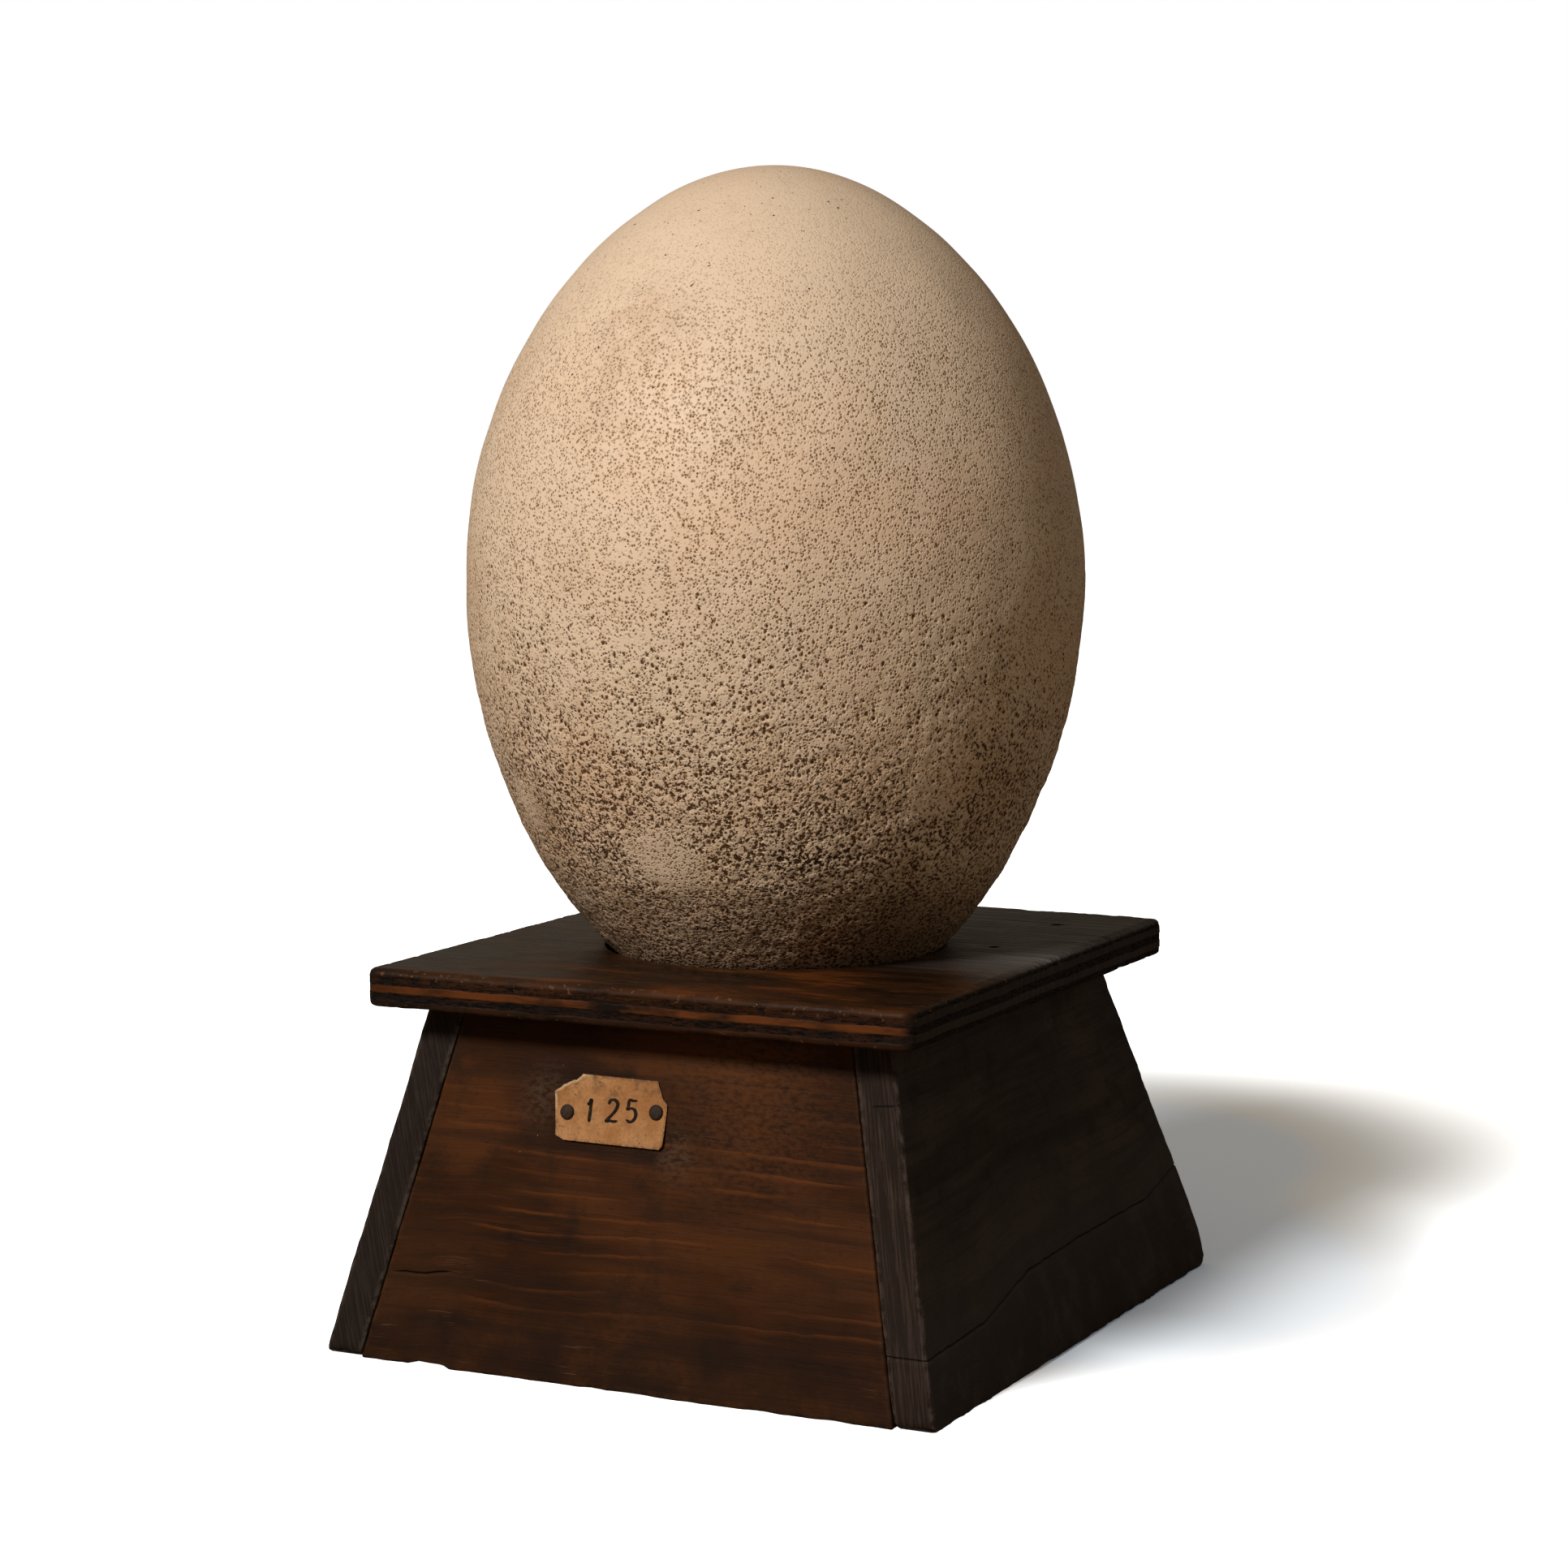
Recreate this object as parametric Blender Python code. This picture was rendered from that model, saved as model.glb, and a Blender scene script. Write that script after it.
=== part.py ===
"""Elephant bird egg standing in the round hole of a small wooden stand.

The stand is a hollow box of four leaning boards, open underneath, with an overhanging plywood
top. The front and back boards are let in between the two side boards, whose edges show at the
front. A paper label is tacked to the front board, and two sunk nails show in the top.

Units are metres, +Z is up. The origin is on the floor under the middle of the stand, +X runs to
the right along the labelled front, and +Y runs to the back.
"""

import math

import bmesh
import bpy
from mathutils import Matrix, Vector, noise

# Egg
EGG_WIDTH = 0.2186
EGG_UPPER_HEIGHT = 0.1446
EGG_LOWER_HEIGHT = 0.1591
EGG_UPPER_SLIMMING = 0.067
EGG_LOWER_SLIMMING = 0.079
EGG_WIDEST_Z = 0.2629
EGG_AXIS = Vector((-0.0018, -0.0067))
EGG_SEGMENTS = 70
EGG_BANDS = ((90, -8, 21), (-8, -56, 25), (-56, -90, 8))

# Weathering of the shell: shallow swells everywhere, pits that grow towards the lower end
SWELL_DEPTH = 0.0005
SWELL_SIZE = 0.034
PIT_DEPTH = 0.0011
PIT_SIZE = 0.0085
PIT_RIM = -0.05
PIT_WALL = 0.30
PITTED_BELOW = 0.265
PITTED_FULLY_BELOW = 0.165

# Box of four boards: widths at the foot and at the neck, under the top board
FOOT_WIDTH = 0.2306
FOOT_DEPTH = 0.2592
NECK_WIDTH = 0.1754
NECK_FRONT = -0.1022
NECK_BACK = 0.0806
BOX_HEIGHT = 0.1200
SIDE_THICKNESS = 0.0145
PANEL_THICKNESS = 0.0140
WORN_EDGE = 0.0007
FOOT_CORNER = 0.0040
FOOT_CORNER_BACK = 0.0110

# Chipped stretch along the foot of the front board
CHIP_LEFT = -0.0814
CHIP_RIGHT = -0.0649
CHIP_HEIGHT = 0.0011

# Split in the right side board: where it crosses the outer face, from front to back
SPLIT_WIDTH = 0.0011
SPLIT_DEPTH = 0.0035
SPLIT_ROUTE = ((-0.140, 0.0225), (-0.079, 0.0241), (-0.036, 0.0321), (0.015, 0.0336),
               (0.089, 0.0338), (0.140, 0.0400))

# Plywood top
TOP_WIDTH = 0.2038
TOP_DEPTH = 0.2278
TOP_THICKNESS = 0.0135
TOP_CENTRE_Y = -0.0053
TOP_CORNER = 0.0050
TOP_ARRIS = 0.0022
SEAT_CHAMFER = 0.0020
SEAT_SHIFT = Vector((-0.0009, -0.0007))
SEAT_SEGMENTS = 76

# Label on the front board: its outline as places across the front and heights above the floor
LABEL_THICKNESS = 0.0005
LABEL_OUTLINE = ((-0.0344, 0.0949), (-0.0327, 0.0806), (-0.0292, 0.0792), (0.0071, 0.0791),
                 (0.0084, 0.0805), (0.0085, 0.0936), (0.0067, 0.0954), (0.0041, 0.1011),
                 (-0.0243, 0.1012))
TACK_PLACES = {"tack_left": (-0.0290, 0.0884), "tack_right": (0.0046, 0.0910)}
TACK_HEAD_RADIUS = 0.0026
TACK_HEAD_HEIGHT = 0.0012
TACK_SHANK_RADIUS = 0.0006
TACK_SHANK_LENGTH = 0.0070

# Sunk nails, each leaning like the side board that it enters
NAIL_X = 0.0730
NAIL_PLACES = {"nail_front": 0.0162, "nail_back": 0.0747}
NAIL_RADIUS = 0.0013
NAIL_SUNK = 0.0014
NAIL_LENGTH = 0.0400

# Air between pieces that touch
GAP = 0.0003
REACH = 0.010

TOP_UNDERSIDE = BOX_HEIGHT + GAP
TOP_SURFACE = TOP_UNDERSIDE + TOP_THICKNESS
SIDE_LEAN = math.atan((FOOT_WIDTH - NECK_WIDTH) / 2 / BOX_HEIGHT)
FRONT_LEAN = math.atan((NECK_FRONT + FOOT_DEPTH / 2) / BOX_HEIGHT)


def clear_scene():
    """Remove whatever the file holds, so that the model stands alone."""
    for item in list(bpy.data.objects):
        bpy.data.objects.remove(item, do_unlink=True)


def finish(name, colour, roughness, metallic=0.0):
    """Make a plain Principled material."""
    material = bpy.data.materials.new(name)
    material.use_nodes = True
    shader = material.node_tree.nodes["Principled BSDF"]
    shader.inputs["Base Color"].default_value = (*colour, 1.0)
    shader.inputs["Roughness"].default_value = roughness
    shader.inputs["Metallic"].default_value = metallic
    return material


def add_object(name, mesh_data, material=None, smooth_angle=None):
    """Turn a bmesh into a named object in the scene, with its faces pointing out."""
    bmesh.ops.recalc_face_normals(mesh_data, faces=mesh_data.faces[:])
    mesh = bpy.data.meshes.new(name)
    mesh_data.to_mesh(mesh)
    mesh_data.free()
    if smooth_angle is not None:
        mesh.shade_smooth()
        mesh.set_sharp_from_angle(angle=math.radians(smooth_angle))
    item = bpy.data.objects.new(name, mesh)
    bpy.context.scene.collection.objects.link(item)
    if material is not None:
        mesh.materials.append(material)
    return item


def add_cutter(name, mesh_data):
    """Make an object that only cuts others."""
    cutter = add_object(name, mesh_data)
    cutter.hide_render = True
    cutter.display_type = "WIRE"
    return cutter


def cut(item, cutter):
    """Take the cutter's shape out of an object."""
    step = item.modifiers.new("cut_" + cutter.name, "BOOLEAN")
    step.operation = "DIFFERENCE"
    step.object = cutter
    return step


def wear_edges(item, width, segments=1):
    """Round an object's sharp edges."""
    step = item.modifiers.new("worn_edges", "BEVEL")
    step.width = width
    step.segments = segments
    step.limit_method = "ANGLE"
    step.angle_limit = math.radians(40)
    return step


def turned(profile, segments, place=None):
    """Turn a profile of (radius, height) points about Z, from its top pole to its bottom pole.

    The first and last points lie on the axis. place moves each point of the surface.
    """
    place = place or (lambda point: point)
    mesh_data = bmesh.new()
    top = mesh_data.verts.new(place(Vector((0, 0, profile[0][1]))))
    bottom = mesh_data.verts.new(place(Vector((0, 0, profile[-1][1]))))
    rings = []
    for radius, height in profile[1:-1]:
        ring = []
        for step in range(segments):
            angle = 2 * math.pi * step / segments
            point = Vector((radius * math.cos(angle), radius * math.sin(angle), height))
            ring.append(mesh_data.verts.new(place(point)))
        rings.append(ring)
    for step in range(segments):
        after = (step + 1) % segments
        mesh_data.faces.new((top, rings[0][step], rings[0][after]))
        mesh_data.faces.new((bottom, rings[-1][after], rings[-1][step]))
        for upper, lower in zip(rings, rings[1:]):
            mesh_data.faces.new((upper[step], lower[step], lower[after], upper[after]))
    return mesh_data


def rod(radius, top, bottom):
    """Profile of a plain round rod, for turned()."""
    return [(0, top), (radius, top), (radius, bottom), (0, bottom)]


def rounded(corners, radii, steps=4):
    """Round each corner of a closed outline by its own radius, with arcs."""
    outline = []
    for index, (corner, radius) in enumerate(zip(corners, radii)):
        corner = Vector(corner)
        if radius == 0:
            outline.append(corner)
            continue
        before = (Vector(corners[index - 1]) - corner).normalized()
        after = (Vector(corners[(index + 1) % len(corners)]) - corner).normalized()
        half = before.angle(after) / 2
        centre = corner + (before + after).normalized() * radius / math.sin(half)
        start = corner + before * radius / math.tan(half) - centre
        sweep = (math.pi - 2 * half) * (1 if before.cross(after) < 0 else -1)
        for step in range(steps + 1):
            turn = Matrix.Rotation(sweep * step / steps, 2)
            outline.append(centre + turn @ start)
    return outline


def slab(outline, lower, upper):
    """Close the space between two placings of the same outline."""
    mesh_data = bmesh.new()
    low = [mesh_data.verts.new(lower(*point)) for point in outline]
    high = [mesh_data.verts.new(upper(*point)) for point in outline]
    mesh_data.faces.new(low)
    mesh_data.faces.new(high[::-1])
    for index in range(len(outline)):
        after = (index + 1) % len(outline)
        mesh_data.faces.new((low[index], high[index], high[after], low[after]))
    return mesh_data


def side_x(z):
    """Half width of the box over its side boards at a height."""
    return FOOT_WIDTH / 2 - z * math.tan(SIDE_LEAN)


def front_y(z):
    """Outer face of the front board at a height."""
    return -FOOT_DEPTH / 2 + z * math.tan(FRONT_LEAN)


def back_y(z):
    """Outer face of the back board at a height."""
    return FOOT_DEPTH / 2 + (NECK_BACK - FOOT_DEPTH / 2) * z / BOX_HEIGHT


def front_place(x, z, proud=0.0):
    """Frame on the front board's face at x and z: its Z axis points out, its Y axis up the face."""
    turn = Matrix.Rotation(math.pi / 2 - FRONT_LEAN, 4, "X")
    out = Vector((0, -math.cos(FRONT_LEAN), math.sin(FRONT_LEAN)))
    return Matrix.Translation(Vector((x, front_y(z), z)) + out * proud) @ turn


def egg_radius(z):
    """Radius of the egg's smooth outline at a height above the floor."""
    rise = z - EGG_WIDEST_Z
    height = EGG_UPPER_HEIGHT if rise > 0 else EGG_LOWER_HEIGHT
    slimming = EGG_UPPER_SLIMMING if rise > 0 else EGG_LOWER_SLIMMING
    part = min(1.0, abs(rise) / height)
    return EGG_WIDTH / 2 * math.sqrt(1 - part * part) * (1 - slimming * part * part)


def egg_profile():
    """Outline of the egg from top to bottom, band by band, closest where the shell is pitted."""
    profile = [(0.0, EGG_WIDEST_Z + EGG_UPPER_HEIGHT)]
    for first, last, rings in EGG_BANDS:
        for ring in range(1, rings + 1):
            angle = math.radians(first + (last - first) * ring / rings)
            height = EGG_UPPER_HEIGHT if angle > 0 else EGG_LOWER_HEIGHT
            z = EGG_WIDEST_Z + height * math.sin(angle)
            profile.append((egg_radius(z), z))
    profile[-1] = (0.0, EGG_WIDEST_Z - EGG_LOWER_HEIGHT)
    return profile


def weathered(point):
    """Sink a point of the shell into its swells and pits, and set it over the seat hole."""
    inward = -(point - Vector((0, 0, EGG_WIDEST_Z))).normalized()
    swell = 0.5 + 0.5 * noise.noise(point / SWELL_SIZE)
    share = (PITTED_BELOW - point.z) / (PITTED_BELOW - PITTED_FULLY_BELOW)
    share = max(0.0, min(1.0, share))
    pit = (noise.noise(point / PIT_SIZE + Vector((7.3, 1.9, 4.2))) - PIT_RIM) / PIT_WALL
    pit = max(0.0, min(1.0, pit))
    depth = SWELL_DEPTH * swell + PIT_DEPTH * share * pit
    crown = EGG_WIDEST_Z + EGG_UPPER_HEIGHT - point.z
    depth *= min(1.0, crown / SWELL_SIZE)
    return point + inward * depth + Vector((EGG_AXIS.x, EGG_AXIS.y, 0))


def build_egg(shell):
    """The egg: a turned solid with a weathered surface."""
    return add_object("egg", turned(egg_profile(), EGG_SEGMENTS, weathered), shell, 60)


def build_side_board(name, side, wood):
    """A side board: as deep as the box, leaning in, with rounded lower corners."""
    corners = [(front_y(0), 0.0), (back_y(0), 0.0), (back_y(BOX_HEIGHT), BOX_HEIGHT),
               (front_y(BOX_HEIGHT), BOX_HEIGHT)]
    outline = rounded(corners, (FOOT_CORNER, FOOT_CORNER_BACK, 0, 0))

    def outer(y, z):
        return Vector((side * side_x(z), y, z))

    def inner(y, z):
        return Vector((side * (side_x(z) - SIDE_THICKNESS), y, z))

    board = add_object(name, slab(outline, outer, inner), wood)
    wear_edges(board, WORN_EDGE)
    return board


def build_split(board):
    """Cut the long crack into the outer face of a side board, as a narrow V."""
    mesh_data = bmesh.new()
    sections = []
    for y, z in SPLIT_ROUTE:
        lip = side_x(z) + SPLIT_WIDTH
        section = [Vector((lip, y, z - SPLIT_WIDTH)), Vector((lip, y, z + SPLIT_WIDTH)),
                   Vector((side_x(z) - SPLIT_DEPTH, y, z + SPLIT_WIDTH / 2))]
        sections.append([mesh_data.verts.new(point) for point in section])
    mesh_data.faces.new(sections[0])
    mesh_data.faces.new(sections[-1][::-1])
    for near, far in zip(sections, sections[1:]):
        for index in range(3):
            after = (index + 1) % 3
            mesh_data.faces.new((near[index], far[index], far[after], near[after]))
    cut(board, add_cutter("split_cutter", mesh_data))


def build_panel(name, wood, face_y, inward, foot):
    """A board let in between the side boards, flush with their edges.

    face_y gives its outer face at a height, inward is the way to its inner face, and foot is the
    outline of its lower edge, from left to right, between its two lower corners.
    """
    def half(z):
        return side_x(z) - SIDE_THICKNESS - GAP

    outline = [(-half(0), 0.0), *foot, (half(0), 0.0), (half(BOX_HEIGHT), BOX_HEIGHT),
               (-half(BOX_HEIGHT), BOX_HEIGHT)]

    def outer(x, z):
        return Vector((x, face_y(z), z))

    def inner(x, z):
        return Vector((x, face_y(z) + inward * PANEL_THICKNESS, z))

    board = add_object(name, slab(outline, outer, inner), wood)
    wear_edges(board, WORN_EDGE)
    return board


def build_front_board(wood):
    """The front board, with the chip in its lower edge."""
    run = CHIP_HEIGHT * 3
    chip = [(CHIP_LEFT, 0.0), (CHIP_LEFT + run, CHIP_HEIGHT), (CHIP_RIGHT - run, CHIP_HEIGHT),
            (CHIP_RIGHT, 0.0)]
    return build_panel("front_board", wood, front_y, 1, chip)


def build_top_board(wood):
    """The plywood top: a slab with rounded corners and arrises, and the chamfered seat hole."""
    half_width = TOP_WIDTH / 2
    front = TOP_CENTRE_Y - TOP_DEPTH / 2
    back = TOP_CENTRE_Y + TOP_DEPTH / 2
    corners = [(-half_width, front), (half_width, front), (half_width, back),
               (-half_width, back)]
    outline = rounded(corners, [TOP_CORNER] * 4)

    def underside(x, y):
        return Vector((x, y, TOP_UNDERSIDE))

    def surface(x, y):
        return Vector((x, y, TOP_SURFACE))

    board = add_object("top_board", slab(outline, underside, surface), wood)
    wear_edges(board, TOP_ARRIS, segments=2)

    rim_z = TOP_SURFACE - SEAT_CHAMFER / 2
    rim = egg_radius(rim_z) + GAP * math.sqrt(2) + SEAT_SHIFT.length
    bore = rim - SEAT_CHAMFER / 2
    mouth = bore + SEAT_CHAMFER
    profile = [(0, TOP_SURFACE + REACH), (mouth + REACH, TOP_SURFACE + REACH),
               (bore, TOP_SURFACE - SEAT_CHAMFER), (bore, TOP_UNDERSIDE - REACH),
               (0, TOP_UNDERSIDE - REACH)]
    centre = EGG_AXIS + SEAT_SHIFT
    seat = add_cutter("seat_cutter", turned(profile, SEAT_SEGMENTS))
    seat.location = (centre.x, centre.y, 0)
    cut(board, seat)
    return board


def build_label(paper):
    """The paper label: its outline laid on the front board's face."""
    out = Vector((0, -math.cos(FRONT_LEAN), math.sin(FRONT_LEAN)))

    def under(x, z):
        return Vector((x, front_y(z), z)) + out * GAP

    def over(x, z):
        return Vector((x, front_y(z), z)) + out * (GAP + LABEL_THICKNESS)

    return add_object("label", slab(LABEL_OUTLINE, under, over), paper)


def tack_profile():
    """A domed tack head on a short shank, with its underside at height zero."""
    dome = []
    for step in range(5):
        angle = math.pi / 2 * (1 - step / 4)
        dome.append((TACK_HEAD_RADIUS * math.cos(angle), TACK_HEAD_HEIGHT * math.sin(angle)))
    dome[-1] = (TACK_HEAD_RADIUS, 0.0)
    return [(0.0, TACK_HEAD_HEIGHT), *dome[1:], (TACK_SHANK_RADIUS, 0.0),
            (TACK_SHANK_RADIUS, -TACK_SHANK_LENGTH), (0.0, -TACK_SHANK_LENGTH)]


def build_tacks(metal, drilled):
    """The tacks, and the holes that they go through."""
    proud = GAP + LABEL_THICKNESS + GAP
    for name, (x, z) in TACK_PLACES.items():
        tack = add_object(name, turned(tack_profile(), 20), metal, 50)
        tack.matrix_world = front_place(x, z, proud)
        hole = rod(TACK_SHANK_RADIUS + GAP, REACH, -TACK_SHANK_LENGTH - GAP)
        cutter = add_cutter(name + "_hole", turned(hole, 12))
        cutter.matrix_world = front_place(x, z, proud)
        for item in drilled:
            cut(item, cutter)


def build_nails(metal, drilled):
    """The sunk nails, and the holes that they leave in the boards."""
    for name, y in NAIL_PLACES.items():
        place = Matrix.Translation((NAIL_X, y, TOP_SURFACE)) @ Matrix.Rotation(-SIDE_LEAN, 4, "Y")
        nail = add_object(name, turned(rod(NAIL_RADIUS, -NAIL_SUNK, -NAIL_LENGTH), 14), metal, 50)
        nail.matrix_world = place
        hole = rod(NAIL_RADIUS + GAP, REACH, -NAIL_LENGTH - GAP)
        cutter = add_cutter(name + "_hole", turned(hole, 14))
        cutter.matrix_world = place
        for item in drilled:
            cut(item, cutter)


def main():
    """Build the egg and its stand."""
    clear_scene()
    shell = finish("eggshell", (0.68, 0.52, 0.35), 0.55)
    plywood = finish("stained_plywood", (0.070, 0.038, 0.022), 0.42)
    long_grain = finish("stained_board", (0.075, 0.036, 0.018), 0.55)
    end_grain = finish("stained_side_board", (0.050, 0.036, 0.026), 0.60)
    paper = finish("old_paper", (0.55, 0.28, 0.13), 0.80)
    iron = finish("dark_iron", (0.030, 0.022, 0.018), 0.55, 0.6)

    build_egg(shell)
    top_board = build_top_board(plywood)
    front_board = build_front_board(long_grain)
    build_panel("back_board", long_grain, back_y, -1, [])
    build_side_board("left_side_board", -1, end_grain)
    right_side_board = build_side_board("right_side_board", 1, end_grain)
    build_split(right_side_board)
    label = build_label(paper)
    build_tacks(iron, [label, front_board])
    build_nails(iron, [top_board, right_side_board])
    bpy.context.view_layer.update()


main()
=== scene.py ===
"""Looks of an elephant bird egg that stands in the round hole of a small wooden stand.

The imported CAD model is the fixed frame. Each piece here stands for a CAD node in the same place,
with the detail of the real one: the pores and pits of the shell, the plies and worn edges of the
top board, the grain, cracks and saw marks of the leaning boards, and the old paper label.

Units are metres, +Z is up, +X runs to the right along the labelled front, +Y to the back.
"""

import logging
import math
from collections.abc import Callable, Sequence
from dataclasses import dataclass, replace
from enum import Enum

import bpy
import numpy as np
from mathutils import Matrix, Vector, geometry, noise


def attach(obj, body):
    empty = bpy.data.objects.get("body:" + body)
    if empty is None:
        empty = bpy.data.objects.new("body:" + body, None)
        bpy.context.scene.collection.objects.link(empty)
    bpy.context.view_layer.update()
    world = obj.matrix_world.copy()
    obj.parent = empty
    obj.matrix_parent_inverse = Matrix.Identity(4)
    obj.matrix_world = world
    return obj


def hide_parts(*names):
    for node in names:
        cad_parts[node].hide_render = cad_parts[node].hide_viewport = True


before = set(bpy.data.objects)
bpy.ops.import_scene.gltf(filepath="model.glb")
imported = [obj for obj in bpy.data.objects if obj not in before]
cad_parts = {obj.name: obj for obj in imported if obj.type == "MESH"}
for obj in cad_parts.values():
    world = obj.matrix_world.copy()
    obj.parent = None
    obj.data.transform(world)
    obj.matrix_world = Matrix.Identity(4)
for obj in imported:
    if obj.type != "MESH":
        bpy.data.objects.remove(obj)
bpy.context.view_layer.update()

LOG = logging.getLogger("egg_on_stand")

Colour = tuple[float, float, float]
Triple = tuple[float, float, float]
Pair = tuple[float, float]

REST = "rest"
BOARD = "board"
EDGE = "edge"
ACROSS = "across"

# How far a seed shifts a board along its grain, in metres
SEED_SHIFT = 0.31


class Field:
    """A number or colour that varies over a surface. Arithmetic on it adds Math nodes."""

    def __init__(self, graph: "Graph", socket: bpy.types.NodeSocket) -> None:
        """Keep the output socket and the graph that it belongs to."""
        self.graph = graph
        self.socket = socket

    def __add__(self, other: "Feed") -> "Field":
        """Sum of two fields."""
        return self.graph.math("ADD", self, other)

    __radd__ = __add__

    def __sub__(self, other: "Feed") -> "Field":
        """Difference of two fields."""
        return self.graph.math("SUBTRACT", self, other)

    def __rsub__(self, other: "Feed") -> "Field":
        """Difference, with the plain number first."""
        return self.graph.math("SUBTRACT", other, self)

    def __mul__(self, other: "Feed") -> "Field":
        """Product of two fields."""
        return self.graph.math("MULTIPLY", self, other)

    __rmul__ = __mul__

    def __truediv__(self, other: "Feed") -> "Field":
        """Quotient of two fields."""
        return self.graph.math("DIVIDE", self, other)

    def larger(self, other: "Feed") -> "Field":
        """The larger of two fields."""
        return self.graph.math("MAXIMUM", self, other)

    def below(self, other: "Feed") -> "Field":
        """One where this field is below the other, and zero elsewhere."""
        return self.graph.math("LESS_THAN", self, other)

    def fraction(self) -> "Field":
        """The part after the decimal point."""
        return self.graph.math("FRACT", self, 0.0)

    def away(self, middle: "Feed") -> "Field":
        """Distance from a middle value."""
        return self.graph.math("ABSOLUTE", self - middle, 0.0)

    def span(self, start: "Feed", end: "Feed", low: "Feed" = 0.0, high: "Feed" = 1.0) -> "Field":
        """Go smoothly from low to high as this field goes from start to end.

        Args:
            start: Value of this field where the result is low.
            end: Value of this field where the result is high. It may be below start.
            low: Result at start and before it.
            high: Result at end and past it.

        Returns:
            The smoothed field.
        """
        node = self.graph.add("ShaderNodeMapRange",
                              {"Value": self, "From Min": start, "From Max": end, "To Min": low,
                               "To Max": high}, interpolation_type="SMOOTHSTEP")
        return Field(self.graph, node.outputs["Result"])


Feed = float | Field


class Graph:
    """Adds nodes to a material or to geometry nodes, and joins them up."""

    def __init__(self, tree: bpy.types.NodeTree) -> None:
        """Keep the tree that the nodes go into."""
        self.tree = tree

    def add(self, kind: str, inputs: dict[int | str, object] | None = None,
            **settings: object) -> bpy.types.Node:
        """Add a node, set its options and feed its inputs.

        Args:
            kind: The node's type.
            inputs: What goes into its inputs, by their numbers or names.
            settings: Its options by name.

        Returns:
            The new node.
        """
        node = self.tree.nodes.new(kind)
        for name, value in settings.items():
            setattr(node, name, value)
        for slot, value in (inputs or {}).items():
            self.feed(node.inputs[slot], value)
        return node

    def feed(self, socket: bpy.types.NodeSocket, value: object) -> None:
        """Join an output to an input socket, or set a plain value on it.

        Args:
            socket: The input.
            value: A field, an output socket, a number or a tuple.
        """
        if isinstance(value, Field):
            value = value.socket
        if isinstance(value, bpy.types.NodeSocket):
            self.tree.links.new(value, socket)
        elif socket.type == "RGBA" and len(value) == 3:
            socket.default_value = (*value, 1.0)
        else:
            socket.default_value = value

    def math(self, operation: str, first: Feed, second: Feed) -> Field:
        """Add a Math node.

        Args:
            operation: What the node does.
            first: Its first value.
            second: Its second value.

        Returns:
            The result.
        """
        node = self.add("ShaderNodeMath", {0: first, 1: second}, operation=operation)
        return Field(self, node.outputs[0])

    def attribute(self, name: str, vector: bool = True) -> Field:
        """Read a value stored on the mesh.

        Args:
            name: Its name.
            vector: True for a point, False for a number.

        Returns:
            The stored value.
        """
        if self.tree.type == "GEOMETRY":
            node = self.add("GeometryNodeInputNamedAttribute",
                            data_type="FLOAT_VECTOR" if vector else "FLOAT")
            node.inputs["Name"].default_value = name
            return Field(self, node.outputs["Attribute"])
        node = self.add("ShaderNodeAttribute", attribute_name=name)
        return Field(self, node.outputs["Vector" if vector else "Fac"])

    def stretched(self, place: Field, scales: Triple) -> Field:
        """Multiply a point's three coordinates by three numbers.

        Args:
            place: The point.
            scales: The three numbers.

        Returns:
            The stretched point.
        """
        node = self.add("ShaderNodeVectorMath", {0: place, 1: scales}, operation="MULTIPLY")
        return Field(self, node.outputs[0])

    def coordinate(self, place: Field, letter: str) -> Field:
        """One coordinate of a point.

        Args:
            place: The point.
            letter: X, Y or Z.

        Returns:
            The coordinate.
        """
        node = self.add("ShaderNodeSeparateXYZ", {0: place})
        return Field(self, node.outputs[letter])

    def point(self, x: Feed, y: Feed, z: Feed) -> Field:
        """Put three numbers together into a point.

        Args:
            x: First coordinate.
            y: Second coordinate.
            z: Third coordinate.

        Returns:
            The point.
        """
        node = self.add("ShaderNodeCombineXYZ", {0: x, 1: y, 2: z})
        return Field(self, node.outputs[0])

    def near(self, place: Field, centre: Sequence[float], reach: float, core: float = 0.25) -> Field:
        """One near a point, falling smoothly to zero.

        Args:
            place: Where the surface is.
            centre: The point.
            reach: Distance at which the result has fallen to zero.
            core: Share of the reach within which it is one.

        Returns:
            The mask.
        """
        node = self.add("ShaderNodeVectorMath", {0: place, 1: tuple(centre)}, operation="DISTANCE")
        return Field(self, node.outputs["Value"]).span(reach, reach * core)

    def warped(self, place: Field, scale: float, reach: float) -> Field:
        """Shift a point a little each way, so that a pattern read there loses its regular shapes.

        Args:
            place: The point.
            scale: How closely the shifts vary, to a metre.
            reach: How far it is shifted at most, in metres.

        Returns:
            The shifted point.
        """
        drift = self.add("ShaderNodeTexNoise", {"Vector": place, "Scale": scale, "Detail": 1.0})
        centred = self.add("ShaderNodeVectorMath", {0: drift.outputs[1], 1: (0.5, 0.5, 0.5)},
                           operation="SUBTRACT")
        shift = self.add("ShaderNodeVectorMath", {0: centred.outputs[0], "Scale": reach * 2.0},
                         operation="SCALE")
        moved = self.add("ShaderNodeVectorMath", {0: place, 1: shift.outputs[0]}, operation="ADD")
        return Field(self, moved.outputs[0])

    def noise(self, place: Field, scale: float, detail: float = 2.0, roughness: float = 0.5
              ) -> Field:
        """Cloudy noise around one half.

        Args:
            place: Where the surface is.
            scale: Features to a metre, where the place is in metres.
            detail: How many finer layers are added.
            roughness: How strong the finer layers are.

        Returns:
            The noise.
        """
        node = self.add("ShaderNodeTexNoise", {"Vector": place, "Scale": scale, "Detail": detail,
                                               "Roughness": roughness})
        return Field(self, node.outputs[0])

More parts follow.
